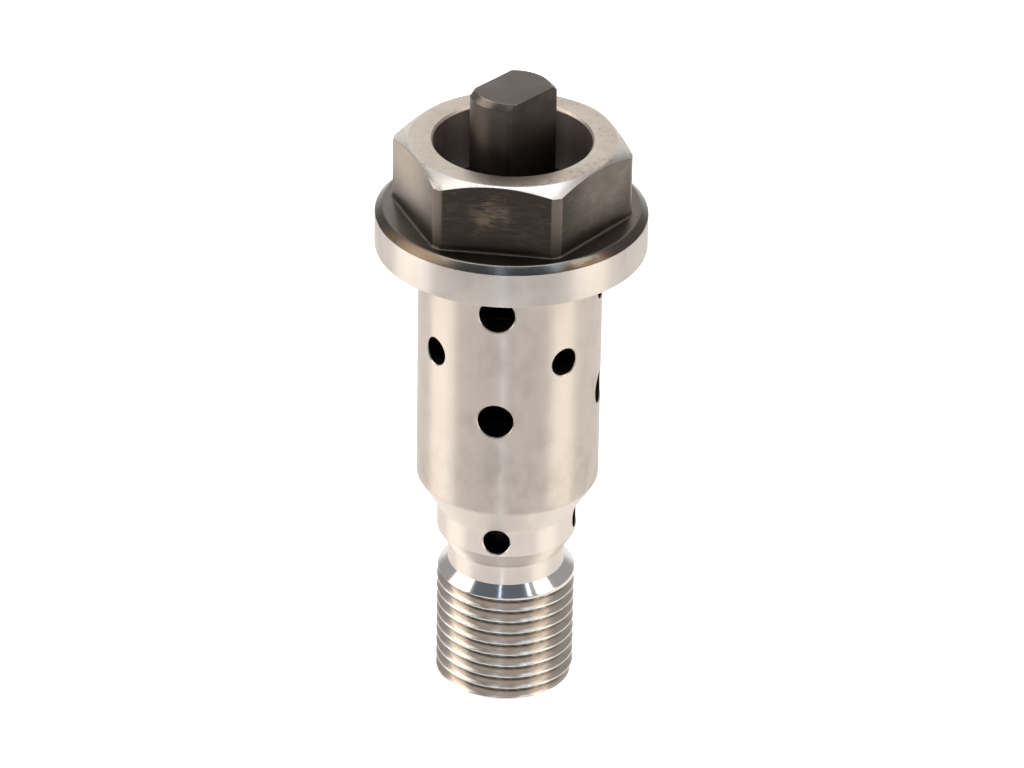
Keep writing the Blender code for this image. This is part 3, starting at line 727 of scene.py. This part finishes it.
    # oily: oil streaks down the bore, then darker deeper down the bore, which is painted shade.
    oily = finish.mix(curtain, (0.58, 0.49, 0.45), (0.86, 0.75, 0.70))
    oily = finish.mix(z.step(68.5 * MM, 63 * MM) * 0.6, oily, (0.26, 0.22, 0.195))
    tone = finish.layers(
        flats,
        (facing_up * above, bright),
        (flange, plate),
        (inside, oily),
    )
    bevel = bevel * flange
    roughness = 0.24 + cloud * 0.14 + smear * 0.08 - bevel * 0.16 + patch * 0.14 + inside * 0.14
    normal = finish.bump(cloud * 0.5 + smear * 0.5 + streak * 0.3 + fleck * 0.2, 0.02 * MM, 0.5)
    surface(finish, tone, roughness, normal)
    return made


def nose_steel():
    """The spool: dark hardened steel with faint rings, lighter on its rubbed edges, and near-black inside the
    sleeve, which is painted shade over a film of oil."""
    steel = bpy.context.scene.valve_colours
    sizes = bpy.context.scene.valve_spool
    made, finish = material("nose_steel")
    x, y, z = finish.split(finish.place())
    up = finish.facing()
    cloud = finish.noise(2.0 * MM, (1, 1, 1), 4.0, 0.6)
    rings = finish.noise(0.12 * MM, (200, 200, 1), 2.0)
    fleck = finish.noise(0.35 * MM, (1, 1, 1), 2.0, 0.5, 4.0).step(0.62, 0.8)
    round_side = abs((x * math.sin(sizes.turn) - y * math.cos(sizes.turn)) / sizes.flat).step(1.0, 0.8)
    slope = up.within(0.5, 0.85, 0.05)
    edge = z.step(spool_high.z - 0.16 * MM, spool_high.z - 0.05 * MM) * up.step(0.98, 0.9)
    tone = finish.layers(
        steel.nose,
        (cloud.step(0.35, 0.65) * 0.5, (0.040, 0.034, 0.030)),
        (round_side * 0.6, (0.12, 0.10, 0.085)),
        (slope * (0.25 + cloud.step(0.3, 0.6) * 0.6), (0.22, 0.19, 0.165)),
        (up.step(0.95, 0.99), (0.120, 0.100, 0.084)),
        (edge * 0.5, (0.34, 0.30, 0.27)),
        (fleck * 0.22, (0.22, 0.19, 0.165)),
        # Lower down, inside the sleeve, the spool takes the near-black bore colour: painted shade, over a
        # film of oil.
        (z.step(63 * MM, 57 * MM), steel.bore),
    )
    roughness = 0.30 + cloud * 0.12
    surface(finish, tone, roughness, finish.bump(rings * 0.5 + cloud, 0.004 * MM, 0.5), anisotropic=0.6)
    return made


def oiled_steel_in_painted_shade():
    """The sleeve: ground steel under a film of old oil, painted near-black as painted shade seen through the
    ports.
    """
    made, finish = material("oiled_steel_in_painted_shade")
    rings = finish.noise(0.08 * MM, (200, 200, 1), 2.0)
    film = finish.noise(1.6 * MM, (1, 1, 1), 4.0)
    # Near-black tones: painted shade inside the bolt, over the oil film.
    tone = finish.mix(film.step(0.3, 0.7), (0.03, 0.026, 0.023), (0.055, 0.045, 0.038))
    surface(finish, tone, 0.22 + film * 0.15, finish.bump(rings, 0.003 * MM, 0.5))
    return made


def ground_steel():
    """Ground steel of the sleeve and the small pieces, darkened by oil."""
    steel = bpy.context.scene.valve_colours
    made, finish = material("ground_steel")
    rings = finish.noise(0.08 * MM, (200, 200, 1), 2.0)
    film = finish.noise(1.6 * MM, (1, 1, 1), 4.0)
    tone = finish.mix(film * 0.45, steel.ground, (0.25, 0.22, 0.19))
    surface(finish, tone, 0.26 + film * 0.12, finish.bump(rings, 0.003 * MM, 0.5))
    return made


def spring_wire():
    """Drawn and oil-tempered wire, with faint lines."""
    steel = bpy.context.scene.valve_colours
    made, finish = material("spring_wire")
    film = finish.noise(0.6 * MM, (1, 1, 0.4), 4.0)
    tone = finish.mix(film * 0.5, steel.wire, (0.16, 0.14, 0.13))
    surface(finish, tone, 0.3 + film * 0.15, finish.bump(film, 0.004 * MM, 0.4))
    return made


def woven_mesh():
    """Fine wire cloth: crossed wires whose heights are sines of the azimuth and of the height."""
    made, finish = material("woven_mesh")
    x, y, z = finish.split(finish.place())
    azimuth = finish.value("ShaderNodeMath", settings={"operation": "ARCTAN2"}, values={0: x, 1: y})
    across, upward = abs((azimuth * 90.0).sine()), abs((z * (math.pi / (0.18 * MM))).sine())
    wires = across.most(upward)
    # The wires are painted near-black: painted shade inside the inlet port.
    tone = finish.mix(wires.step(0.55, 0.9), (0.012, 0.011, 0.010), (0.07, 0.065, 0.06))
    surface(finish, tone, 0.35 - wires * 0.08, finish.bump(wires, 0.05 * MM, 0.8))
    return made


def moulded_plastic():
    """Glass-filled black plastic with a fine matt grain."""
    steel = bpy.context.scene.valve_colours
    made, finish = material("moulded_plastic")
    grain = finish.noise(0.12 * MM, (1, 1, 1), 3.0)
    tone = finish.mix(grain * 0.4, steel.plastic, (0.06, 0.058, 0.055))
    surface(finish, tone, 0.5 + grain * 0.1, finish.bump(grain, 0.01 * MM, 0.4), metallic=0.0)
    return made


# --- Shapes of the bolt ---


def groove_shape(phase):
    """The thread's form across one pitch, 0 at the root and 1 at the crest, where phase is a whole number
    at the root. It climbs evenly between a rounded root and a narrow crest."""
    climb = 2 * np.abs(phase - np.round(phase))
    even = np.clip((climb - 0.09) / 0.82, 0, 1)
    return 0.9 * even + 0.1 * even * even * (3 - 2 * even)


def smooth_least(first, second, width):
    """The smaller of two lengths, rounded where they cross: minus width times the log of the sum of the
    exponentials of minus each over width."""
    return -width * np.logaddexp(-first / width, -second / width)


def smooth_step(value):
    value = np.clip(value, 0, 1)
    return value * value * (3 - 2 * value)


def thread_piece():
    """The threaded end. On the side the radius follows the groove, whose phase grows by one with each pitch
    of height and also by one with each turn of azimuth, which makes the thread left-hand. The rows crowd at
    the crests by a sine of the phase. The groove's depth fades with the number of turns it has made, and a
    cone trims the side at each end."""
    sizes = bpy.context.scene.valve_thread
    azimuth = np.linspace(-math.pi, math.pi, 280, endpoint=False)
    turn = azimuth / math.tau
    height = np.linspace(0, sizes.bevel_top, 348)[:, None]
    crests = (height - sizes.start) / sizes.pitch + turn
    held = smooth_step(height / (0.7 * MM)) * smooth_step((sizes.bevel_top - height) / (0.7 * MM))
    height = height - 0.62 * held * sizes.pitch / math.tau * np.sin(math.tau * crests)
    crests = (height - sizes.start) / sizes.pitch + turn
    turns_made = np.floor(crests) + 0.5 - turn
    depth = sizes.depth * (1 - smooth_step((turns_made - sizes.fade) / 0.14))
    ridge = sizes.radius - depth * (1 - groove_shape(crests + 0.5))
    end_cone = sizes.radius - sizes.end_bevel + height + 0 * azimuth
    slope = (sizes.radius - sizes.undercut) / (sizes.bevel_top - sizes.top)
    bevel = sizes.undercut + (sizes.bevel_top - height) * slope + 0 * azimuth
    radius = smooth_least(smooth_least(ridge, end_cone, 0.015 * MM), bevel, 0.012 * MM)
    side = np.stack([radius, height + 0 * azimuth], -1)
    rim = radius[0].min() - 0.3 * MM
    rows = [(0, sizes.drill_depth), (sizes.drill, 0), (sizes.drill + 0.4 * MM, 0), (rim, 0)]
    foot = np.zeros((4, len(azimuth), 2)) + np.array(rows)[:, None]
    cap = np.zeros((1, len(azimuth), 2)) + (0, sizes.bevel_top)
    return lathe("bolt_thread", np.concatenate([foot, side, cap]), azimuth, crease=40)


def body_piece():
    """The neck, body and flange rim, with the bore, and the ports drilled through."""
    sizes, head = bpy.context.scene.valve_body, bpy.context.scene.valve_head
    thread = bpy.context.scene.valve_thread
    flange = head_high.x
    corners = [
        (0, thread.bevel_top),
        (thread.undercut, thread.bevel_top),
        (thread.undercut, sizes.undercut_top),
        (sizes.neck_radius, sizes.neck_low),
        (sizes.neck_radius, sizes.neck_top),
        (sizes.radius, sizes.low),
        (sizes.radius, head.seat),
        (flange, head.seat),
        (flange, head.rim_top),
        (head.bore, head.rim_top),
        (head.bore, head.ledge),
        (sizes.bore, head.ledge),
        (sizes.bore, sizes.bore_low),
        (sizes.bore - 1.1 * MM, sizes.bore_low - 1.1 * MM),
        (sizes.chamber, sizes.bore_low - 1.85 * MM),
        (sizes.chamber, sizes.chamber_low),
        (0, sizes.chamber_low),
    ]
    outside_fillets = [0, 0.01, 0.5, 0.25, 0.35, 0.3, 0.35, 0.25, 0.03]
    inside_fillets = [0.01, 0.1, 0.1, 0.1, 0.1, 0.1, 0.1, 0]
    fillets = np.array(outside_fillets + inside_fillets) * MM
    piece = lathe("bolt_body", eased(corners, fillets, 6), around(360))
    inside, outside = sizes.bore - 0.6 * MM, sizes.radius + PAST
    rows = [
        (sizes.port, sizes.port_high, 0.0, inside, sizes.radius, outside),
        (sizes.pilot, sizes.port_pilot, math.pi / 4, inside, sizes.radius, outside),
        (sizes.port, sizes.port_low, 0.0, inside, sizes.radius, outside),
        (sizes.inlet, sizes.port_inlet, 0.0, sizes.chamber - 0.6 * MM, sizes.neck_radius, outside),
    ]
    cutters = [
        radial_cutter("port", radius, radius, 2, inner, face, outer, height, turn, sizes.deburr)
        for radius, height, first, inner, face, outer in rows
        for turn in four_round(first)
    ]
    return combine(piece, join("ports", cutters + [pin_shape("pin_slot", PIN_GAP, PAST)]))


def pin_shape(name, gap, rise=0.0):
    """An upright round bar in the place of the locating pin, larger by a gap and taller by a rise."""
    middle = (pin_low + pin_high) / 2
    radius = (pin_high.x - pin_low.x) / 2 + gap
    bar = turned_piece(name, band(0, radius, pin_low.z - gap, pin_high.z + rise), 0.06 * MM, 48)
    bar.data.transform(Matrix.Translation((middle.x, middle.y, 0)))
    return bar


def hexagon_azimuths():
    """Columns for the head: sparse along each flat and dense round each corner."""
    flat, corner = np.linspace(-25, 25, 36, endpoint=False), np.linspace(25, 35, 28, endpoint=False)
    sector = np.concatenate([flat, corner])
    return np.radians((sector[None] + 60 * np.arange(6)[:, None]).ravel())


def head_piece():
    """The hexagon on the flange. Its radius is the flat's distance over the cosine of the angle from the
    nearest flat, held to the corner radius. The top bevel rises from there to the top face at 30
    degrees."""
    sizes = bpy.context.scene.valve_head
    azimuth = hexagon_azimuths()
    from_flat = (azimuth + math.pi / 6) % (math.pi / 3) - math.pi / 6
    hexagon = smooth_least(sizes.flat / np.cos(from_flat), np.full_like(azimuth, sizes.corner), 0.015 * MM)
    top = head_high.z
    bevel = top - (hexagon - sizes.top_face) * math.tan(math.radians(30))
    flange = head_high.x
    groove_low, groove_high = ring_low.z - 0.15 * MM, ring_high.z + 0.15 * MM

    corners = [
        (sizes.bore, sizes.rim_top),
        (flange, sizes.rim_top),
        (flange - sizes.flange_inset, sizes.flange_top),
        (hexagon, sizes.flange_top),
        (hexagon, bevel),
        (sizes.top_face, top),
        (sizes.bore + sizes.bore_bevel, top),
        (sizes.bore, top - sizes.bore_bevel),
        (sizes.bore, groove_high),
        (sizes.groove, groove_high),
        (sizes.groove, groove_low),
        (sizes.bore, groove_low),
    ]
    fillets = np.array([0.01, 0.12, 0.2, 0.35, 0.08, 0.15, 0.06, 0.06, 0.04, 0.03, 0.03, 0.04]) * MM
    return lathe("bolt_head", eased(ringed(azimuth, corners), fillets), azimuth, crease=24)


# --- Operators ---


class VALVE_OT_bolt(bpy.types.Operator):
    """Build the bolt: its thread, its ported body and its hexagon head"""

    bl_idname = "valve.bolt"
    bl_label = "Bolt"

    def execute(self, context):
        rows = ((thread_piece, thread_steel), (body_piece, turned_steel), (head_piece, head_steel))
        for build, finish in rows:
            fit(build(), finish(), "valve", "valve_bolt")
        return {"FINISHED"}


class VALVE_OT_spool(bpy.types.Operator):
    """Build the control spool with its two-flat nose"""

    bl_idname = "valve.spool"
    bl_label = "Spool"

    def execute(self, context):
        sizes = context.scene.valve_spool
        azimuth = around(320)
        flat = sizes.flat / np.maximum(np.abs(np.cos(azimuth - sizes.turn)), 1e-3)

        def flatted(radius):
            return smooth_least(flat, np.full_like(azimuth, radius), 0.02 * MM)

        tail, top = spool_low.z, spool_high.z
        land_b = tail + sizes.tail_length
        land_a = land_b + sizes.land_spacing
        ledge = context.scene.valve_head.ledge
        collar = ledge - sizes.collar_height
        nose = flatted(sizes.nose)
        inset = np.maximum(nose - (sizes.nose - sizes.bevel), 0.09 * MM)
        corners = [
            (0, collar),
            (sizes.bore, collar),
            (sizes.bore, tail + sizes.pocket_depth),
            (sizes.pocket, tail + sizes.pocket_depth),
            (sizes.pocket, tail),
            (sizes.tail, tail),
            (sizes.tail, land_b),
            (sizes.land, land_b),
            (sizes.land, land_b + sizes.land_height),
            (sizes.groove, land_b + sizes.land_height),
            (sizes.groove, land_a),
            (sizes.land, land_a),
            (sizes.land, land_a + sizes.land_height),
            (sizes.groove, land_a + sizes.land_height),
            (sizes.groove, collar - 0.3 * MM),
            (flatted(sizes.groove - 0.01 * MM), collar - 0.25 * MM),
            (flatted(sizes.groove), collar),
            (flatted(sizes.land), collar + 0.02 * MM),
            (flatted(sizes.land), ledge),
            (flatted(sizes.nose) - 0.01 * MM, ledge + 0.01 * MM),
            (nose, ledge + 0.1 * MM),
            (nose, top - inset),
            (nose - inset, top),
            (0, top),
        ]
        profile = eased(ringed(azimuth, corners), 0.05 * MM)
        piece = lathe("spool_and_nose", profile, azimuth, crease=24)
        drain_height = (land_a + sizes.land_height + collar) / 2
        hole, reach, edge = sizes.drain, (1 * MM, sizes.groove, 7 * MM), 0.05 * MM
        drains = [
            radial_cutter("drain", hole, hole, 2, *reach, drain_height, turn, edge)
            for turn in four_round(sizes.turn + math.pi / 4)
        ]
        piece = combine(piece, join("drains", drains), crease=24)
        fit(piece, nose_steel(), "piston", "spool")
        return {"FINISHED"}


class VALVE_OT_sleeve(bpy.types.Operator):
    """Build the ported sleeve and the pin that locates it"""

    bl_idname = "valve.sleeve"
    bl_label = "Sleeve"

    def execute(self, context):
        sizes, body = context.scene.valve_inside, context.scene.valve_body
        outside = sleeve_high.x
        bottom, top = sleeve_low.z, sleeve_high.z
        recess = seat_high.x + 0.15 * MM
        corners = [
            (recess, bottom),
            (outside, bottom),
            (outside, top),
            (sizes.sleeve_bore, top),
            (sizes.sleeve_bore, sizes.recess_top),
            (recess, sizes.recess_top),
        ]
        piece = turned_piece("ported_sleeve", corners, 0.12 * MM, 256)
        wide, high = sizes.window_width / 2, sizes.window_height / 2
        inner, outer = sizes.sleeve_bore - 0.8 * MM, outside + PAST
        edge = 0.06 * MM
        cutters = [
            radial_cutter("window", wide, high, 7, inner, outside, outer, level, turn, edge)
            for level in (body.port_high, body.port_low)
            for turn in four_round()
        ]
        channel = sizes.channel_width / 2
        channel_top, channel_low = body.port_pilot + high, bottom - PAST
        middle, half = (channel_top + channel_low) / 2, (channel_top - channel_low) / 2
        groove = outside - sizes.channel_depth
        feed = channel - 0.3 * MM
        for turn in four_round(math.pi / 4):
            cutters += [
                radial_cutter("channel", channel, half, 14, groove, outside, outer, middle, turn, edge),
                radial_cutter("feed", feed, high * 0.8, 7, inner, groove, outer, body.port_pilot, turn, edge),
            ]
        cutters.append(pin_shape("sleeve_slot", PIN_GAP, PAST))
        for cutter in cutters:
            combine(piece, cutter)
        fit(piece, oiled_steel_in_painted_shade(), "valve", "control_sleeve")
        fit(pin_shape("dowel", 0.0), ground_steel(), "valve", "locating_pin")
        return {"FINISHED"}


class VALVE_OT_stop(bpy.types.Operator):
    """Build the stop washer and the retaining ring that hold the spool in"""

    bl_idname = "valve.stop"
    bl_label = "Washer and ring"

    def execute(self, context):
        sizes = context.scene.valve_inside
        hole, rim = sizes.washer_hole, washer_high.x
        low, high = washer_low.z, washer_high.z
        washer = turned_piece("washer", band(hole, rim, low, high), 0.12 * MM, 160)
        fit(washer, ground_steel(), "valve", "stop_washer")
        fit(ring_piece(), spring_wire(), "valve", "retaining_ring")
        return {"FINISHED"}


def ring_piece():
    """The circlip: a flat bar carried round an arc from one side of the opening to the other. Its inner
    radius grows towards the ends by the square of how far round it is, so that it tapers. A drilled round
    lug closes each end."""
    sizes = bpy.context.scene.valve_inside
    outer, low, high = ring_high.x, ring_low.z, ring_high.z
    half = sizes.ring_opening / 2
    arc = np.linspace(half, math.tau - half, 240)
    inner = outer - sizes.ring_width + 0.5 * MM * np.abs(arc / math.pi - 1) ** 2
    corners = ringed(arc, band(inner, outer, low, high))
    around_bar = eased(corners, 0.1 * MM, 3).transpose(1, 0, 2)
    radius, height = around_bar[..., 0], around_bar[..., 1]
    spin = arc[:, None]
    bar = np.stack([radius * np.sin(spin), -radius * np.cos(spin), height], -1)
    ends = [bar[:1] * 0 + bar[:1].mean(1, keepdims=True), bar[-1:] * 0 + bar[-1:].mean(1, keepdims=True)]
    piece = skin("circlip", np.concatenate([ends[0], bar, ends[1]])[:, ::-1])
    middle = outer - sizes.ring_width / 2 - sizes.lug / 2
    for side in (-1, 1):
        place = Matrix.Rotation(side * half * 1.1, 4, "Z") @ Matrix.Translation((0, -middle, 0))
        for radius, extra, change in ((sizes.lug, 0, "UNION"), (sizes.lug_hole, 0.5 * MM, "DIFFERENCE")):
            plug = turned_piece("lug", band(0, radius, low - extra, high + extra), 0.08 * MM, 64)
            plug.data.transform(place)
            combine(piece, plug, change)
    return piece


class VALVE_OT_springs(bpy.types.Operator):
    """Build the return spring, its seat, and the check valve's spring"""

    bl_idname = "valve.springs"
    bl_label = "Springs"

    def execute(self, context):
        sizes = context.scene.valve_inside
        boss = return_high.x - sizes.return_wire - 0.3 * MM
        shoulder = return_low.z - 0.1 * MM
        low, high, rim = seat_low.z, seat_high.z, seat_high.x
        corners = [(0, low), (rim, low), (rim, shoulder), (boss, shoulder), (boss, high), (0, high)]
        seat = turned_piece("spring_plate", corners, 0.1 * MM, 128)
        fit(seat, ground_steel(), "valve", "spring_seat")
        wire = spring_wire()
        return_shape = (sizes.return_wire, sizes.return_turns, 0)
        check_shape = (sizes.check_wire, sizes.check_turns, sizes.rest)
        rows = (
            ("coil_spring", "return_spring", return_low, return_high, return_shape),
            ("small_coil_spring", "check_spring", check_low, check_high, check_shape),
        )
        for name, node, low, high, (thick, turns, lift) in rows:
            piece = coil(name, high.x - thick / 2, thick, low.z + lift, high.z, turns)
            fit(piece, wire, "valve", node)
            joint = joints_of[node]
            travel = joint["limit"]
            tall = high.z - low.z
            (tall - travel) / tall
            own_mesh(piece)
        return {"FINISHED"}


class VALVE_OT_inlet(bpy.types.Operator):
    """Build the oil inlet's filter and check valve"""

    bl_idname = "valve.inlet"
    bl_label = "Inlet"

    def execute(self, context):
        sizes = context.scene.valve_inside
        steel = ground_steel()
        low, high, rim = plate_low.z, plate_high.z, plate_high.x
        plate = turned_piece("valve_plate", band(sizes.orifice, rim, low, high), 0.1 * MM, 128)
        fit(plate, steel, "valve", "check_valve_seat")
        fit(ball_piece(), steel, "ball", "check_ball")
        outside = sizes.cage_outside
        inside, low = outside - sizes.cage_wall, cage_low.z
        roof, top, foot = cage_high.z - sizes.cage_wall, cage_high.z, low + sizes.cage_wall
        corners = [
            (0, roof),
            (inside, roof),
            (inside, low),
            (cage_high.x, low),
            (cage_high.x, foot),
            (outside, foot),
            (outside, top),
            (0, top),
        ]
        cage = turned_piece("ball_cage", corners, 0.12 * MM, 160)
        window_low, window_high = foot + 0.15 * MM, roof - 0.15 * MM
        middle, half = (window_low + window_high) / 2, (window_high - window_low) / 2
        inner, outer = inside - 0.9 * MM, outside + PAST
        cut_windows(cage, 1.3 * MM, half, 7, inner, outside, outer, middle)
        fit(cage, steel, "valve", "check_valve_cage")
        rim, low, high = frame_high.x, frame_low.z, frame_high.z
        wall = mesh_high.x - 0.35 * MM
        inside, flange = wall - sizes.filter_wall, sizes.filter_flange
        corners = [
            (inside, low),
            (rim, low),
            (rim, low + flange),
            (wall, low + flange),
            (wall, high - flange),
            (rim, high - flange),
            (rim, high),
            (inside, high),
        ]
        moulding = turned_piece("filter_moulding", corners, 0.1 * MM, 160)
        half, middle = (high - low - 3 * flange) / 2, (low + high) / 2
        across, inner, outer = inside * 0.55, inside * 0.5, wall + PAST
        cut_windows(moulding, across, half, 8, inner, wall, outer, middle)
        fit(moulding, moulded_plastic(), "valve", "filter_frame")
        fit(gauze_piece(), woven_mesh(), "valve", "filter_mesh")
        return {"FINISHED"}


def ball_piece():
    """A sphere: radius times the sine and cosine of a latitude."""
    radius, middle = (ball_high.z - ball_low.z) / 2, (ball_high.z + ball_low.z) / 2
    latitude = np.linspace(-math.pi / 2, math.pi / 2, 49)
    profile = np.stack([radius * np.cos(latitude).clip(0), middle + radius * np.sin(latitude)], -1)
    profile[[0, -1], 0] = 0
    return lathe("ball", profile[:, None], around(72), crease=60)


def gauze_piece():
    """Wire gauze as one wall. Its outer radius drops between the wires by the gap depth times one less the
    larger of two sines, one that counts the wires round the axis and one that counts them up the wall."""
    outer, low, high = mesh_high.x, mesh_low.z, mesh_high.z
    wires, depth = 120, 0.07 * MM
    spacing = math.tau * outer / wires
    azimuth = around(wires * 6)
    levels = int((high - low) / spacing)
    height = np.linspace(low, high, levels * 6 + 1)[:, None]
    across = np.abs(np.sin(azimuth * wires / 2))
    upward = np.abs(np.sin((height - low) / (high - low) * levels * math.pi))
    radius = outer - depth * (1 - np.maximum(across, upward))
    wall = np.stack([radius, height + 0 * azimuth], -1)
    inside = outer - 0.2 * MM
    inner = np.zeros((2, len(azimuth), 2)) + np.array([(inside, high), (inside, low)])[:, None]
    return lathe("gauze", np.concatenate([wall, inner]), azimuth, crease=60)


class VALVE_OT_stage(bpy.types.Operator):
    """Set the floor, the studio light and the camera"""

    bl_idname = "valve.stage"
    bl_label = "Stage"

    def execute(self, context):
        stage = context.scene.valve_stage
        side = 2.5
        grid = np.array([(-side, -side, 0), (side, -side, 0), (side, side, 0), (-side, side, 0)])
        mesh = bpy.data.meshes.new("floor")
        mesh.from_pydata((grid - (0, 0, 0.0002)).tolist(), [], [(0, 1, 2, 3)])
        floor = bpy.data.objects.new("floor", mesh)
        context.scene.collection.objects.link(floor)
        made, finish = material("floor")
        grain = finish.noise(40 * MM, (1, 1, 1), 2.0)
        tone = finish.mix(grain * 0.01, stage.floor, (0.9, 0.9, 0.9))
        values = {
            "Base Color": tone,
            "Roughness": 0.9,
            "Specular IOR Level": 0.0,
            "Emission Color": (1, 1, 1, 1),
            "Emission Strength": 0.7,
        }
        shader = finish.value("ShaderNodeBsdfPrincipled", values=values)
        finish.node("ShaderNodeOutputMaterial", values={"Surface": shader})
        mesh.materials.append(made)
        # Reflections and light pass the floor, so that the studio's lower half lights the upright faces.
        floor.visible_glossy = False
        floor.visible_shadow = False
        floor.visible_diffuse = False
        studio_light(context.scene)
        camera_at(context.scene)
        context.scene.view_settings.view_transform = "Standard"
        return {"FINISHED"}


def studio_light(scene):
    """The studio as a world seen in reflections: a pale floor below, dark walls above the front, pale walls
    behind, an upright softbox on each side, two thin light strips, and a softbox overhead."""
    stage = scene.valve_stage
    world = bpy.data.worlds.new("studio")
    world.use_nodes = True
    scene.world = world
    finish = Finish(world.node_tree)
    x, y, z = finish.split(finish.value("ShaderNodeTexCoord", "Generated"))
    level = finish.value("ShaderNodeMath", settings={"operation": "ARCSINE"}, values={0: z}) * DEGREES
    east = x * math.cos(stage.azimuth) + y * math.sin(stage.azimuth)
    south = x * math.sin(stage.azimuth) - y * math.cos(stage.azimuth)
    azimuth = finish.value("ShaderNodeMath", settings={"operation": "ARCTAN2"}, values={0: east, 1: south})
    azimuth = azimuth * DEGREES
    north = -south
    front = azimuth.within(-72, 48, 8)
    ground = level.step(2, -5)
    back = azimuth.step(-140, -160) + azimuth.step(140, 160)
    climb = level.most(0.0)
    left = (azimuth + climb * 0.26).within(-103, -67, 3) * level.within(-8, 60, 4)
    right = (azimuth - climb * 0.42).within(50, 80, 3) * level.within(-8, 58, 4)
    overhead = (north / z.most(0.01)).step(-0.09, -0.02) * level.step(58, 66)
    ceiling = level.step(71, 75) * (1 - overhead)
    strip = east.within(-0.109, -0.091, 0.012) * level.within(-30, 84, 5)
    second = (east + north * 0.8 - z * 0.267).within(-0.035, 0.035, 0.012) * level.within(45, 80, 5)
    walls = (1 - ground) * (1 - overhead) * (1 - ceiling)
    dim = walls * front * 0.17 + walls * back * 0.95 + walls * (1 - front) * (1 - back) * 0.38
    brightness = dim + ground * (stage.floor_light + (1 - front) * 0.06)
    brightness = brightness + (left + right * 0.8) * stage.box_light + overhead * 2.0 + ceiling * 0.55
    brightness = brightness + (strip + second) * stage.strip_light
    cold = ((front * walls) * 0.7 + strip + second).least(1.0)
    tone = finish.mix(left + right, (0.99, 0.98, 0.97), stage.softbox)
    tone = finish.mix(cold, tone, stage.studio)
    studio = finish.value("ShaderNodeBackground", values={"Color": tone, "Strength": brightness})
    white = finish.value("ShaderNodeBackground", values={"Color": (1, 1, 1, 1), "Strength": 1.0})
    camera = finish.value("ShaderNodeLightPath", "Is Camera Ray")
    mixed = finish.value("ShaderNodeMixShader", values={0: camera, 1: studio, 2: white})
    finish.node("ShaderNodeOutputWorld", values={"Surface": mixed})


def camera_at(scene):
    stage = scene.valve_stage
    camera = bpy.data.objects.new("camera", bpy.data.cameras.new("camera"))
    scene.collection.objects.link(camera)
    camera.data.lens = stage.lens
    camera.data.sensor_width = 36
    camera.data.clip_start, camera.data.clip_end = 0.01, 100
    flat = Vector((math.sin(stage.azimuth), -math.cos(stage.azimuth), 0))
    right = Vector((math.cos(stage.azimuth), math.sin(stage.azimuth), 0))
    back = flat * math.cos(stage.elevation) + Vector((0, 0, math.sin(stage.elevation)))
    up = back.cross(right)
    turn = Matrix((right, up, back)).transposed() @ Matrix.Rotation(stage.roll, 3, "Z")
    aim = right * stage.aim_side + Vector((0, 0, stage.aim_height))
    camera.matrix_world = Matrix.Translation(aim + back * stage.distance) @ turn.to_4x4()
    scene.camera = camera


class VALVE_PT_panel(bpy.types.Panel):
    bl_idname = "VALVE_PT_panel"
    bl_label = "Cartridge valve"
    bl_space_type = "VIEW_3D"
    bl_region_type = "UI"
    bl_category = "Valve"

    def draw(self, context):
        for build in OPERATORS:
            self.layout.operator(build.bl_idname)


OPERATORS = (
    VALVE_OT_bolt,
    VALVE_OT_spool,
    VALVE_OT_sleeve,
    VALVE_OT_stop,
    VALVE_OT_springs,
    VALVE_OT_inlet,
    VALVE_OT_stage,
)
GROUPS = {
    "valve_thread": ThreadSizes,
    "valve_body": BodySizes,
    "valve_head": HeadSizes,
    "valve_spool": SpoolSizes,
    "valve_inside": InsideSizes,
    "valve_colours": SteelColours,
    "valve_stage": StageSettings,
}


def register():
    for group in GROUPS.values():
        bpy.utils.register_class(group)
    for build in (*OPERATORS, VALVE_PT_panel):
        bpy.utils.register_class(build)
    for name, group in GROUPS.items():
        setattr(bpy.types.Scene, name, PointerProperty(type=group))


def unregister():
    for name in GROUPS:
        delattr(bpy.types.Scene, name)
    for build in (*OPERATORS, VALVE_PT_panel):
        bpy.utils.unregister_class(build)
    for group in GROUPS.values():
        bpy.utils.unregister_class(group)


def main():
    register()
    bpy.ops.valve.bolt()
    bpy.ops.valve.spool()
    bpy.ops.valve.sleeve()
    bpy.ops.valve.stop()
    bpy.ops.valve.springs()
    bpy.ops.valve.inlet()
    bpy.ops.valve.stage()


if __name__ == "__main__":
    main()
